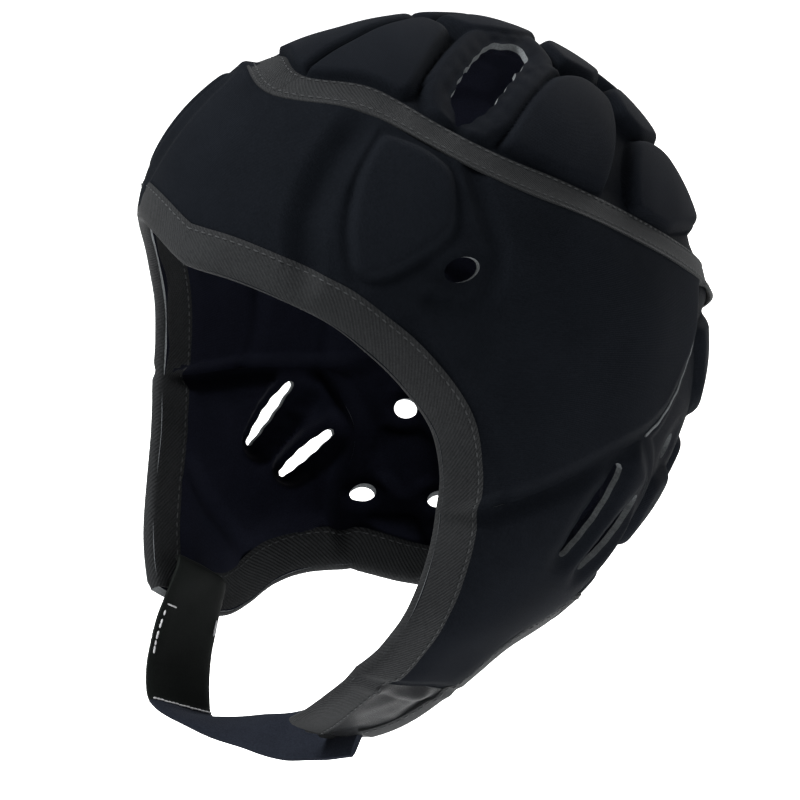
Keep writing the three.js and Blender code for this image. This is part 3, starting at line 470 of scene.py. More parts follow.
def worn_shape(points):
    """The twist of the whole cap, and the wearer's right flap hanging out, forward and down."""
    points = np.array(points, float)
    points[..., 2] += TWIST * points[..., 0] * points[..., 1]
    low = smooth_step((HANG_TOP - points[..., 2]) / HANG_HEIGHT)
    aside = smooth_step((HANG_SIDE - points[..., 0]) / HANG_BREADTH)
    ahead = smooth_step((HANG_BACK - points[..., 1]) / HANG_LENGTH)
    return points + (low * aside * ahead)[..., None] * HANG


def inside_distance(u, v, outline, blend=CORNER_BLEND):
    """How far inside a convex outline a point lies, with the corners rounded. Below 0 outside."""
    corners = np.array(outline, float)
    following = np.roll(corners, -1, axis=0)
    area = (corners[:, 0] * following[:, 1] - following[:, 0] * corners[:, 1]).sum()
    total = 0
    for a, b in zip(corners, following):
        edge = (b - a) / np.linalg.norm(b - a)
        inward = np.array([-edge[1], edge[0]]) * np.sign(area)
        distance = (u - a[0]) * inward[0] + (v - a[1]) * inward[1]
        total = total + np.exp(np.clip(-distance / blend, -BLEND_LIMIT, BLEND_LIMIT))
    return -blend * np.log(total)


def ripple(points, name):
    """The smooth random wave of one face, in mm, the same on every run."""
    height, scale, seed = WAVES[name]
    draw = np.random.default_rng(seed)
    field = 0
    for _ in range(WAVE_COUNT):
        direction = unit(draw.normal(size=3))
        pace = 2 * math.pi / scale * draw.uniform(*WAVE_PACES)
        field = field + np.sin(points @ direction * pace + draw.uniform(0, 2 * math.pi))
    return height * (field / math.sqrt(WAVE_COUNT) / WAVE_PEAK)


BOUND_LINES = np.concatenate([
    both_sides(BROW_EDGE), both_sides(NAPE_HEM), samples(mirrored(STRAP_JAW_EDGE)),
    samples(mirrored(STRAP_CHEEK_HEM)), samples(JAW_EDGE), samples(TONGUE_EDGE), samples(CHEEK_HEM),
    samples(TAB_HEM),
])
GROOVE_LINES = both_sides(FOREHEAD_GROOVE)
LINING_LINES = np.concatenate([both_sides(points) for points in LINING_SEAMS])
CREASE_LINES = np.concatenate([
    both_sides(CREASE), both_sides(SIDE_REAR_EDGE), both_sides(NAPE_SIDE_EDGE), samples(FLAP_END),
    samples(mirrored(STRAP_FLAP_END)),
])


def seam_distance(az, el):
    on_seam = surface_point(az, seam_elevation(az))
    return np.linalg.norm(surface_point(az, el) - on_seam, axis=-1)


def tab_share(az, el):
    turned = signed(az)
    (start_a, start_e), (end_a, end_e) = FLAP_END[0], FLAP_END[-1]
    line = start_e + (turned - start_a) * (end_e - start_e) / (end_a - start_a)
    return np.where(turned < 0, 0, np.clip((line - el) / TAB_BLEND, 0, 1))


def panel_depths(az, el):
    """How deep the outer and inner faces of the padded panels lie, before pads and wrinkles."""
    az, el = np.asarray(az, float), np.asarray(el, float)
    here = surface_point(az, el)
    bound = close_to(BOUND_LINES, here, BOUND_EDGE_REACH)
    crease = close_to(CREASE_LINES, here, CREASE_REACH)
    to_seam = seam_distance(az, el)
    seam = nearness(to_seam, SEAM_REACH)
    groove = close_to(GROOVE_LINES, here, GROOVE_REACH) * (1 - nearness(to_seam, GROOVE_FADE))
    outer = np.maximum.reduce([
        BOUND_EDGE_SINK * bound, CREASE_SINK * crease, SEAM_SINK * seam, GROOVE_SINK * groove,
    ])
    inner = WALL - (WALL - BOUND_EDGE_WALL - BOUND_EDGE_SINK) * np.maximum.reduce([bound, crease, seam])
    tab = tab_share(az, el)
    return mix(outer, TAB_SINK, tab), mix(inner, TAB_SINK + TAB_WALL, tab)


# Meshes
def make_object(name, points, faces, materials, indexes=None, uv=None, wear_and_painted_shade=None, sharp=SHARP):
    """A mesh object from points in mm. It takes on the cap's twist, and rides on the one body."""
    points = worn_shape(points)
    mesh = bpy.data.meshes.new(name)
    mesh.from_pydata((points * MM).tolist(), [], [list(face) for face in faces])
    if uv is not None:
        layer = mesh.uv_layers.new(name="UVMap")
        corners = np.empty(len(mesh.loops), dtype=np.int32)
        mesh.loops.foreach_get("vertex_index", corners)
        layer.data.foreach_set("uv", np.asarray(uv, np.float32)[corners].ravel())
    # Each point's colour level: painted shade in the low places, and lighter high places, partly wear
    if wear_and_painted_shade is not None:
        attribute = mesh.attributes.new("wear_and_painted_shade", "FLOAT", "POINT")
        attribute.data.foreach_set("value", np.asarray(wear_and_painted_shade, np.float32))
    for material in materials:
        mesh.materials.append(material)
    if indexes is not None:
        mesh.polygons.foreach_set("material_index", np.asarray(indexes, np.int32))
    mesh.update()
    mesh.validate()
    mesh.shade_smooth()
    mesh.set_sharp_from_angle(angle=math.radians(sharp))
    obj = bpy.data.objects.new(name, mesh)
    bpy.context.scene.collection.objects.link(obj)
    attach(obj, "root")
    return obj


def cut_holes(az, el, keep, hole):
    """Takes out the cells inside a hole, and brings the cells' ends beside it onto its outline."""
    middle = [(g[:-1, :-1] + g[1:, :-1] + g[:-1, 1:] + g[1:, 1:]) / 4 for g in (az, el)]
    gone = (hole(*middle) < 0) & keep
    keep &= ~gone
    touches = []
    for cells in (gone, keep):
        near = np.zeros(az.shape, bool)
        for i in (0, 1):
            for j in (0, 1):
                near[i:i + cells.shape[0], j:j + cells.shape[1]] |= cells
        touches.append(near)
    rim = touches[0] & touches[1]
    a, e = az[rim], el[rim]
    for _ in range(RIM_ROUNDS):
        value = hole(a, e)
        slope_a = (hole(a + RIM_NUDGE, e) - hole(a - RIM_NUDGE, e)) / (2 * RIM_NUDGE)
        slope_e = (hole(a, e + RIM_NUDGE) - hole(a, e - RIM_NUDGE)) / (2 * RIM_NUDGE)
        square = np.maximum(slope_a ** 2 + slope_e ** 2, LEAST_SLOPE)
        a = a - np.clip(value * slope_a / square, -RIM_MOVE, RIM_MOVE)
        e = e - np.clip(value * slope_e / square, -RIM_MOVE, RIM_MOVE)
    az[rim], el[rim] = a, e


def shell(name, az, el, keep, outer, inner, uv, wear_and_painted_shade, materials):
    """A closed soft panel over a grid: outer face, lining and cut edge, with one material each."""
    rows, columns = az.shape
    count = rows * columns
    points = np.concatenate([place(az, el, depth).reshape(-1, 3) for depth in (outer, inner)])
    index = np.arange(count).reshape(rows, columns)
    cell = np.argwhere(keep)
    i, j = cell[:, 0], cell[:, 1]
    front = np.stack([index[i, j], index[i + 1, j], index[i + 1, j + 1], index[i, j + 1]], -1)
    back = front[:, ::-1] + count
    padded_keep = np.pad(keep, 1)
    walls = []
    for step_i, step_j, first, second in ((-1, 0, 3, 0), (1, 0, 1, 2), (0, -1, 0, 1), (0, 1, 2, 3)):
        open_side = ~padded_keep[i + 1 + step_i, j + 1 + step_j]
        a, b = front[open_side][:, first], front[open_side][:, second]
        walls.append(np.stack([b, a, a + count, b + count], -1))
    walls = np.concatenate(walls)
    faces = np.concatenate([front, back, walls])
    indexes = np.repeat([0, 1, 2], [len(front), len(back), len(walls)])
    middle = points.mean(0)
    sample = front[len(front) // 2]
    facing = np.cross(points[sample[1]] - points[sample[0]], points[sample[3]] - points[sample[0]])
    if facing @ (points[sample[0]] - middle) < 0:
        faces = faces[:, ::-1]
    used = np.unique(faces)
    renumber = np.full(2 * count, -1)
    renumber[used] = np.arange(len(used))
    flat_uv = np.tile(uv.reshape(-1, 2), (2, 1))[used]
    flat_wear_and_painted_shade = np.tile(wear_and_painted_shade.ravel(), 2)[used]
    return make_object(name, points[used], renumber[faces], materials, indexes, flat_uv, flat_wear_and_painted_shade)


def sweep(name, rings, material, closed=False, wear_and_painted_shade=None, sharp=SWEEP_SHARP):
    """A solid from rings of points, shape (stations, section, 3). Its ends are capped."""
    stations, sides, _ = rings.shape
    index = np.arange(stations * sides).reshape(stations, sides)
    following = np.roll(index, -1, axis=0) if closed else index[1:]
    here = index if closed else index[:-1]
    corners = [here, following, np.roll(following, -1, axis=1), np.roll(here, -1, axis=1)]
    quads = np.stack(corners, -1).reshape(-1, 4)
    faces = quads.tolist()
    if not closed:
        faces += [index[0].tolist(), index[-1, ::-1].tolist()]
    points = rings.reshape(-1, 3)
    a, b, c, d = (points[quads[:, k]] - points.mean(0) for k in range(4))
    volume = (a * np.cross(b, c)).sum() + (a * np.cross(c, d)).sum()
    if volume < 0:
        faces = [face[::-1] for face in faces]
    run = run_along(rings.mean(1))
    around = np.linalg.norm(np.diff(rings, axis=1), axis=2).mean(0)
    across = np.concatenate([[0], np.cumsum(around)])
    uv = np.stack(np.meshgrid(run, across, indexing="ij"), -1).reshape(-1, 2)
    flat = None if wear_and_painted_shade is None else np.broadcast_to(wear_and_painted_shade, (stations, sides)).ravel()
    return make_object(name, points, faces, [material], uv=uv, wear_and_painted_shade=flat, sharp=sharp)


def joined_small(name, parts, material):
    """Many small closed pieces as one object. parts holds (points, faces)."""
    points, faces, shift = [], [], 0
    for part_points, part_faces in parts:
        points.append(part_points)
        faces += [[shift + k for k in face] for face in part_faces]
        shift += len(part_points)
    flat = np.concatenate(points)
    return make_object(name, flat, faces, [material], uv=flat[:, :2], sharp=SMALL_SHARP)


# Materials: noise of lint and of uneven dye, and the shares that they, the wear and painted shade from the
# shape, and the weave have in the colour
LINT = {"Scale": 1500, "Detail": 3, "Roughness": 0.7}
DYE = {"Scale": 38, "Detail": 4, "Roughness": 0.6}
DYE_SHARE, WEAR_AND_PAINTED_SHADE_SHARE, WEAVE_SHARE, LINT_SHARE = 0.7, 0.42, 0.28, 1.9
WARP_SWAY, WEFT_SWAY, WEFT_PACE = 0.6, 0.8, 0.8
SHEEN_ROUGHNESS, ROUGHNESS_SPREAD = 0.45, 0.16
LINT_RISE, WEAVE_STRENGTH = 0.8, 0.55


def new_material(name, colour, roughness, sheen=0.0, specular=0.5):
    material = bpy.data.materials.new(name)
    material.use_nodes = True
    nodes = material.node_tree.nodes
    shader = nodes["Principled BSDF"]
    shader.inputs["Base Color"].default_value = (*colour, 1)
    shader.inputs["Roughness"].default_value = roughness
    shader.inputs["Sheen Weight"].default_value = sheen
    shader.inputs["Sheen Roughness"].default_value = SHEEN_ROUGHNESS
    shader.inputs["Specular IOR Level"].default_value = specular
    return material, nodes, material.node_tree.links, shader


def node(nodes, kind, **values):
    made = nodes.new(kind)
    for key, value in values.items():
        if key in made.inputs:
            made.inputs[key].default_value = value
        else:
            setattr(made, key, value)
    return made


def fabric(name, dark, light, roughness, sheen, weave_mm, weave_depth, specular, twill):
    """Cloth: a weave from two crossed waves, uneven dye, lint, and lighter worn high places, with painted
    shade darkening the low places.
    """
    material, nodes, links, shader = new_material(name, light, roughness, sheen, specular)

    def calculate(operation, a, b, clamp=False):
        made = node(nodes, "ShaderNodeMath", operation=operation, use_clamp=clamp)
        for socket, value in zip(made.inputs, (a, b)):
            if isinstance(value, (int, float)):
                socket.default_value = value
            else:
                links.new(value, socket)
        return made.outputs[0]

    def noise(settings):
        made = node(nodes, "ShaderNodeTexNoise", **settings)
        links.new(nodes.new("ShaderNodeTexCoord").outputs["Object"], made.inputs["Vector"])
        return made.outputs["Fac"]

    def threads(bands, pace, sway):
        made = node(nodes, "ShaderNodeTexWave", Scale=2 / weave_mm / math.pi * pace, Distortion=sway)
        made.bands_direction = bands
        links.new(place_on_cloth, made.inputs["Vector"])
        return made.outputs["Fac"]

    place_on_cloth = node(nodes, "ShaderNodeUVMap", uv_map="UVMap").outputs["UV"]
    height = threads("DIAGONAL" if twill else "X", 1, WARP_SWAY)
    if not twill:
        height = calculate("MULTIPLY", height, threads("Y", WEFT_PACE, WEFT_SWAY))
    fuzz = noise(LINT)
    patchy = noise(DYE)
    # Painted shade and light from the mesh attribute: grooves and low places darker, high places lighter,
    # partly as wear
    wear_and_painted_shade = node(nodes, "ShaderNodeAttribute", attribute_name="wear_and_painted_shade").outputs["Fac"]
    shade = calculate("MULTIPLY", patchy, DYE_SHARE)
    shade = calculate("ADD", shade, calculate("MULTIPLY", wear_and_painted_shade, WEAR_AND_PAINTED_SHADE_SHARE))
    shade = calculate("ADD", shade, calculate("MULTIPLY", height, WEAVE_SHARE))
    shade = calculate("MULTIPLY", shade, calculate("MULTIPLY", fuzz, LINT_SHARE), clamp=True)
    colours = node(nodes, "ShaderNodeMix", data_type="RGBA", A=(*dark, 1), B=(*light, 1))
    links.new(shade, colours.inputs["Factor"])
    links.new(colours.outputs["Result"], shader.inputs["Base Color"])
    uneven = calculate("MULTIPLY", patchy, ROUGHNESS_SPREAD)
    rough = calculate("ADD", uneven, roughness - ROUGHNESS_SPREAD / 2, clamp=True)
    links.new(rough, shader.inputs["Roughness"])
    total = calculate("ADD", height, calculate("MULTIPLY", fuzz, LINT_RISE))
    bump = node(nodes, "ShaderNodeBump", Strength=WEAVE_STRENGTH, Distance=weave_depth * MM)
    links.new(total, bump.inputs["Height"])
    links.new(bump.outputs["Normal"], shader.inputs["Normal"])
    return material


# Cloths: dark and light colour, roughness, sheen, weave and its depth in mm, gloss, twill or plain
JERSEY, LINING, TAPE, SATIN, PILE, SMOOTH_STRAP, RAW_EDGE, THREAD, WHITE_THREAD = (fabric(*row) for row in (
    ("jersey", (0.0009, 0.0013, 0.0020), (0.0056, 0.0067, 0.0089), 0.8, 0.003, 0.9, 0.12, 0.012, False),
    ("lining", (0.0014, 0.0016, 0.0034), (0.0085, 0.0096, 0.0165), 0.8, 0.003, 0.8, 0.10, 0.02, False),
    ("tape", (0.0022, 0.0025, 0.0029), (0.0200, 0.0210, 0.0220), 0.66, 0.004, 1.5, 0.22, 0.03, True),
    ("satin", (0.0016, 0.0018, 0.0020), (0.0130, 0.0138, 0.0150), 0.38, 0.004, 0.7, 0.10, 0.03, False),
    ("pile", (0.0026, 0.0033, 0.0050), (0.0160, 0.0190, 0.0270), 0.95, 0.01, 0.6, 0.35, 0.02, False),
    ("strap_face", (0.0012, 0.0016, 0.0015), (0.0070, 0.0084, 0.0078), 0.62, 0.003, 0.7, 0.08, 0.03, False),
    ("raw_edge", (0.02, 0.022, 0.024), (0.14, 0.15, 0.155), 0.9, 0.01, 0.7, 0.25, 0.04, False),
    ("thread", (0.012, 0.013, 0.014), (0.062, 0.065, 0.067), 0.6, 0.01, 0.4, 0.05, 0.06, False),
    ("white_thread", (0.20, 0.20, 0.21), (0.60, 0.60, 0.61), 0.6, 0.05, 0.4, 0.05, 0.5, False),
))
PANEL_MATERIALS = [JERSEY, LINING, RAW_EDGE]


# Pads
def pad_profile(distance, slope):
    """0 outside a pad, a steep side, a round shoulder and 1 on its top."""
    share = np.clip(distance / slope, 0, 1)
    return 1 - (1 - share) ** PAD_ROUNDNESS


def pads_height(u, v, outlines, slope, scale, grow):
    height = np.zeros(u.shape)
    crown = np.zeros(u.shape)
    for outline in outlines:
        for side in (1, -1):
            corners = np.array(outline, float) * scale * (side, 1)
            distance = inside_distance(u, v, corners) + grow
            height = np.maximum(height, pad_profile(distance, slope))
            crown = np.maximum(crown, 1 - np.exp(-np.maximum(distance - slope, 0) / SWELL_REACH))
    return height, crown


def side_chart(az, el):
    """Azimuth from the nape and elevation, both in mm."""
    return (az - HALF_TURN) * ROUND_MM, el * UP_MM


def nape_outlines():
    return [[[a - HALF_TURN, e] for a, e in outline] for outline in NAPE_PADS]


# Colour levels from the shape: painted shade in the low places, and lighter high places, partly wear
def lighter(values, base, share):
    return np.clip(base + share * values, 0, 1)


def lighter_pads(height, crown, base, of_height, of_crown):
    return np.clip(base + height * of_height + of_crown * crown, 0, 1)


def panel_grid(name, *edges):
    """A panel's grid between its four edges, with every cell kept, and its texture places."""
    az, el = patch(*edges, *GRID_CELLS[name])
    keep = np.ones((az.shape[0] - 1, az.shape[1] - 1), bool)
    return az, el, keep, grid_uv(az, el)


# Holes: each gives the distance outside its outline in mm, below 0 in the hole
def crown_vent_hole(az, el, frayed=1.0):
    reach = 90 - el
    left, behind = reach * np.sin(np.radians(az)), -reach * np.cos(np.radians(az))
    u, v = np.abs(left) * CROWN_MAP_MM[0], behind * CROWN_MAP_MM[1]
    wave = sum(height * np.sin(u * across + v * along) for height, across, along in FRAYS)
    # The vent bends, so it is two convex halves
    halves = [CROWN_VENT[:3] + CROWN_VENT[-2:], CROWN_VENT[2:-1]]
    inside = [inside_distance(u, v, np.array(half) * CROWN_MAP_MM, VENT_BLEND) for half in halves]
    return -np.maximum(*inside) + wave * frayed - VENT_GROW


def oval_hole(centre, radii):
    def hole(az, el):
        turned = np.abs(signed(az))
        u = (turned - centre[0]) * UP_MM * np.cos(np.radians(centre[1])) * OVAL_SHARE
        v = (el - centre[1]) * UP_MM
        return (np.hypot(u / radii[0], v / radii[1]) - 1) * min(radii)
    return hole


def slot_hole(ends, width):
    b, a = np.array(ends, float) * SIDE_MAP_MM

    def hole(az, el):
        spot = np.stack([np.abs(signed(az)), el], -1) * SIDE_MAP_MM
        share = np.clip(((spot - a) @ (b - a)) / ((b - a) @ (b - a)), 0, 1)
        # Lens shaped, wider on one side of the cap, and its cut edge a little uneven
        gape = np.where((az + HALF_TURN) % FULL_TURN > HALF_TURN, FAR_GAPE, 1.0)
        half = width / 2 * gape * (SLOT_END + (1 - SLOT_END) * np.sin(np.pi * share))
        wave = SLOT_WAVE * np.sin(share * SLOT_PACE)
        return np.linalg.norm(spot - a - share[..., None] * (b - a), axis=-1) - half + wave
    return hole


VENTS = [oval_hole(spot, [NAPE_VENT_RADIUS] * 2) for spot in NAPE_VENTS]
SLOTS = [slot_hole(ends, SLOT_WIDTH) for ends in EAR_SLOTS]
TEMPLE_HOLE = oval_hole(TEMPLE_VENT, TEMPLE_VENT_RADII)


def beside_holes(az, el, holes, reach):
    nearest = np.minimum.reduce([hole(az, el) for hole in holes])
    return nearness(np.maximum(nearest, 0), reach)


def hole_roll(az, el, holes, reach, amount):
    """How far the cloth turns in beside the holes."""
    return amount * beside_holes(az, el, holes, reach)


def lining_puff(az, el):
    """The lining puffs inward between its seams."""
    seam = nearness(distance_to(LINING_LINES, surface_point(az, el)), LINING_SEAM_REACH)
    return LINING_PUFF * (LINING_LEVEL - seam)


def thin_at_holes(az, el, outer, inner, holes, reach=THIN_REACH):
    """The wall runs down to two cloths pressed together beside a hole."""
    share = beside_holes(az, el, holes, reach)
    middle = np.minimum(mix(outer, inner, THIN_MIDDLE), outer + THIN_SINK)
    thin = outer + THIN_WALL + THIN_EXTRA * share
    return mix(outer, middle, share * THIN_SHARE), mix(inner, thin, share)


def grid_uv(az, el):
    """Texture places in mm, along each line of the grid."""
    points = surface_point(az, el)
    runs = []
    for axis in (0, 1):
        steps = np.linalg.norm(np.diff(points, axis=axis), axis=-1)
        even = steps.mean(1 - axis)
        run = np.concatenate([[0], np.cumsum(even)])
        runs.append(np.broadcast_to(run[:, None] if axis == 0 else run[None], az.shape))
    return np.stack(runs, -1)


# Crown
def crown_ground(az, el):
    seam = nearness(seam_distance(az, el), CROWN_SEAM_REACH)
    return mix(CROWN_GROUND, SEAM_SINK, seam)


def build_crown():
    left = np.arange(-CROWN_SIDE, CROWN_SIDE + GRID_STEP, GRID_STEP)
    behind = np.arange(CROWN_FRONT, CROWN_REAR + GRID_STEP, GRID_STEP)
    L, B = np.meshgrid(left, behind, indexing="ij")
    keep = np.ones((len(left) - 1, len(behind) - 1), bool)
    map_uv = np.stack([L * CROWN_MAP_MM[0], B * CROWN_MAP_MM[1]], -1)

    def in_map(hole):
        return lambda l, b: hole(*from_crown_map(l, b))

    cut_holes(L, B, keep, in_map(lambda a, e: (e - seam_elevation(a)) * UP_MM))
    cut_holes(L, B, keep, in_map(crown_vent_hole))
    az, el = from_crown_map(L, B)
    u, v = L * CROWN_MAP_MM[0], B * CROWN_MAP_MM[1]
    height, crown = pads_height(u, v, CROWN_PADS, CROWN_SLOPE, CROWN_MAP_MM, CROWN_GROW)
    beside_vent = COLLAR_WIDTH - crown_vent_hole(az, el, 0)
    height = np.maximum(height, pad_profile(beside_vent, COLLAR_SLOPE) * COLLAR_SHARE)
    # The pads stop beside the tape
    to_seam = seam_distance(az, el)
    height = height * smooth_step((to_seam - TAPE_WIDTH / 2) / TAPE_CLEARING)
    seam = nearness(to_seam, CROWN_SEAM_REACH)
    ground = crown_ground(az, el)
    points = surface_point(az, el)
    roll = hole_roll(az, el, [crown_vent_hole], *CROWN_ROLL)
    outer = ground - (ground - CROWN_TOP) * height - CROWN_SWELL * crown + roll + ripple(points, "crown")
    _, seam_inner = panel_depths(az, seam_elevation(az))
    inner = mix(WALL, seam_inner, seam) + ripple(points, "crown_lining")
    outer, inner = thin_at_holes(az, el, outer, inner, [crown_vent_hole], CROWN_THIN_REACH)
    # Pad tops and swells lighter, partly wear, and the grooves between the pads darker with painted shade
    wear_and_painted_shade = lighter_pads(height, crown, *CROWN_RELIEF)
    piece = shell("crown_pads", az, el, keep, outer, inner, map_uv, wear_and_painted_shade, PANEL_MATERIALS)
    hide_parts("crown_panel")


# Band
def build_band():
    side, brow = SIDE_WEIGHT, BROW_WEIGHT
    top = chain(
        (seam_points(-SIDE_REAR_TOP, -SEAM_CORNER), side), (seam_points(-SEAM_CORNER, 0), brow),
        (seam_points(0, SEAM_CORNER), brow), (seam_points(SEAM_CORNER, SIDE_REAR_TOP), side),
    )
    bottom = chain(
        (mirrored(CREASE)[::-1], side), (mirrored(BROW_EDGE)[::-1], brow), (BROW_EDGE, brow), (CREASE, side),
    )
    edges = edge_curve(mirrored(REAR_POINTS)[::-1]), edge_curve(REAR_POINTS[::-1])
    az, el, keep, uv = panel_grid("band", top, bottom, *edges)
    cut_holes(az, el, keep, TEMPLE_HOLE)
    outer, inner = panel_depths(az, el)
    points = surface_point(az, el)
    u, v = np.abs(signed(az)) * ROUND_MM, el * UP_MM
    temple = inside_distance(u, v, np.array(TEMPLE_PAD) * SIDE_MAP_MM, TEMPLE_BLEND)
    rise = TEMPLE_PAD_RISE * pad_profile(temple + TEMPLE_GROW, TEMPLE_SLOPE)
    beside = nearness(np.abs(temple + DITCH_PLACE), DITCH_REACH) * DITCH_DEPTH
    channel = close_to(both_sides(TEMPLE_CHANNEL), points, CHANNEL_REACH)
    ridge = close_to(both_sides(SIDE_RIDGE), points, RIDGE_REACH)
    bound = close_to(BOUND_LINES, points, BAND_PUFF_REACH)
    puff = 1 - np.maximum.reduce([channel, ridge * RIDGE_SHARE, bound])
    far = np.where(az < 0, FAR_SHARE, 1.0)
    groove = GROOVE_SINK * close_to(GROOVE_LINES, points, GROOVE_REACH) * (az < 0)
    outer = outer - FAR_GROOVE * groove - rise * far + beside * far
    outer = outer + CHANNEL_SINK * channel + RIDGE_SINK * ridge - BAND_PUFF * puff
    outer = outer + hole_roll(az, el, [TEMPLE_HOLE], *BAND_ROLL) + ripple(points, "band")
    inner = inner + ripple(points, "band_lining") + lining_puff(az, el)
    # Painted shade: the deeper the outer face lies, in grooves, channels and seams, the darker; raised places
    # lighter
    wear_and_painted_shade = lighter(outer, *BAND_RELIEF)
    outer, inner = thin_at_holes(az, el, outer, inner, [TEMPLE_HOLE])
    piece = shell("band_pads", az, el, keep, outer, inner, uv, wear_and_painted_shade, PANEL_MATERIALS)
    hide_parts("band_panel")


# Nape
def build_nape():
    top = edge_curve(seam_points(SIDE_REAR_TOP, FULL_TURN - SIDE_REAR_TOP))
    bottom = chain((NAPE_HEM, 1), (past_nape(NAPE_HEM)[::-1], 1))
    near = chain((REAR_POINTS[::-1], REAR_WEIGHT), (NAPE_SIDE_EDGE, NAPE_WEIGHT))
    far = chain((past_nape(REAR_POINTS)[::-1], REAR_WEIGHT), (past_nape(NAPE_SIDE_EDGE), NAPE_WEIGHT))
    az, el, keep, uv = panel_grid("nape", top, bottom, near, far)
    for vent in VENTS:
        cut_holes(az, el, keep, vent)
    outer, inner = panel_depths(az, el)
    points = surface_point(az, el)
    edge = np.maximum.reduce([
        close_to(BOUND_LINES, points, BOUND_EDGE_REACH),
        close_to(CREASE_LINES, points, CREASE_REACH),
        nearness(seam_distance(az, el), CROWN_SEAM_REACH),
    ])
    ground = mix(NAPE_PAD_RISE, outer, edge)
    u, v = side_chart(az, el)
    height, crown = pads_height(u, v, nape_outlines(), NAPE_SLOPE, SIDE_MAP_MM, NAPE_GROW)
    roll = hole_roll(az, el, VENTS, *NAPE_ROLL)
    outer = ground - (ground - NAPE_TOP) * height - NAPE_SWELL * crown + roll + ripple(points, "nape")
    inside, swell = pads_height(u, v, nape_outlines(), NAPE_LINING_SLOPE, SIDE_MAP_MM, NAPE_LINING_GROW)
    inner = inner - NAPE_LINING_SINK * (1 - inside) * (1 - edge) + NAPE_LINING_SWELL * swell
    inner = inner - roll + ripple(points, "nape_lining")
    # Pad tops and swells lighter, partly wear, and the grooves between the pads darker with painted shade
    wear_and_painted_shade = lighter_pads(height, crown, *NAPE_RELIEF)
    outer, inner = thin_at_holes(az, el, outer, inner, VENTS)
    piece = shell("nape_pads", az, el, keep, outer, inner, uv, wear_and_painted_shade, PANEL_MATERIALS)
    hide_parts("nape_panel")


# Cheek flaps
def build_flap(name, node_name, jaw_edge, cheek_hem, end, side):
    def turned(points):
        return points if side > 0 else mirrored(points)

    crease = edge_curve(turned(CREASE))
    bottom = edge_curve(turned(end))
    front = edge_curve(turned(jaw_edge))
    rear = chain((turned(NAPE_SIDE_EDGE), 1), (turned(cheek_hem), 1))
    az, el, keep, uv = panel_grid("cheek", crease, bottom, front, rear)
    for slot in SLOTS:
        cut_holes(az, el, keep, slot)
    outer, inner = panel_depths(az, el)
    points = surface_point(az, el)
    bound = close_to(BOUND_LINES, points, CHEEK_BOUND_REACH)
    crease_near = close_to(CREASE_LINES, points, CHEEK_CREASE_REACH)
    puff = (1 - bound) * (1 - crease_near)
    roll = hole_roll(az, el, SLOTS, *CHEEK_ROLL)
    outer = outer - puff + roll + ripple(points, "cheek")
    inner = inner + CHEEK_LINING_PUFF * puff - roll + ripple(points, "cheek_lining")
    inner = inner + lining_puff(az, el) * puff
    outer, inner = thin_at_holes(az, el, outer, inner, SLOTS)
    # Painted shade: the deeper the outer face lies, near creases and bound edges, the darker; puffed places
    # lighter
    wear_and_painted_shade = lighter(outer, *CHEEK_RELIEF)
    piece = shell(name, az, el, keep, outer, inner, uv, wear_and_painted_shade, PANEL_MATERIALS)
    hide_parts(node_name)


# Tab
def build_tab():
    top = edge_curve(FLAP_END)
    bottom = edge_curve(TONGUE_TIP)
    front = edge_curve(TONGUE_EDGE)
    rear = chain((TAB_HEM, TAB_HEM_WEIGHT), (TAB_BARE_EDGE, TAB_BARE_WEIGHT))
    az, el, keep, uv = panel_grid("tab", top, bottom, front, rear)
    outer, inner = panel_depths(az, el)
    points = surface_point(az, el)
    free = 1 - close_to(BOUND_LINES, points, TAB_FREE_REACH)
    # Wrinkles run along the tongue
    u = np.linspace(0, 1, az.shape[0])[:, None]
    v = np.linspace(0, 1, az.shape[1])[None]
    sway = sum(height * np.sin(pace * v + phase) for height, pace, phase in TAB_SWAYS)
    fold = sum(
        height * np.sin(2 * math.pi * (across * u + bend * sway) + phase)
        for height, across, bend, phase in TAB_FOLDS
    )
    level, change, pace, phase = TAB_FADE
    fold = (fold * (level + change * np.sin(pace * v + phase)) + ripple(points, "tab")) * free
    # Painted light and shade along the wrinkles: the colour follows the fold
    wear_and_painted_shade = lighter(fold, *TAB_RELIEF)
    piece = shell("chin_tab_cloth", az, el, keep, outer + fold, inner + fold, uv, wear_and_painted_shade,
                  [SATIN, SATIN, RAW_EDGE])
    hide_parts("chin_tab")


# Bindings and tapes
def edge_frame(curve, shares):
    spots = curve(shares)
    here = surface_point(*spots.T)
    after, before = (
        curve(np.clip(shares + step, 0, 1)) for step in (EDGE_NUDGE, -EDGE_NUDGE)
    )
    along = unit(surface_point(*after.T) - surface_point(*before.T))
    return here, unit(np.cross(along, surface_normal(*spots.T)))


def edge_rings(curve, shares, section):
    """Rings of a section along an edge. A section point is inset, side from 0 outer to 1 inner, deeper."""
    here, inward = edge_frame(curve, shares)
    rings = []
    for inset, side, deeper in section:
        az, el = angles_of(here + inward * inset)
        outer, inner = panel_depths(az, el)
        rings.append(place(az, el, mix(outer, inner, side) + deeper))
    return np.stack(rings, 1)


def binding_section(width):
    t = TAPE_THICKNESS
    return [
        (width, 0, -t * 0.7), (width - 0.8, 0, -t), (width * 0.6, 0, -t * 1.05), (width * 0.25, 0, -t),
        (0.6, 0.02, -t * 0.6), (-0.5, 0.15, 0), (-0.9, 0.5, 0), (-0.5, 0.85, 0), (0.6, 0.98, t * 0.6),
        (width * 0.25, 1, t), (width * 0.6, 1, t * 1.05), (width - 0.8, 1, t), (width, 1, t * 0.7),
        (width, 1, -0.4), (width * 0.5, 1, -0.4), (1.4, 1, -0.4),
        (1.4, 0, 0.4), (width * 0.5, 0, 0.4), (width, 0, 0.4),
    ]


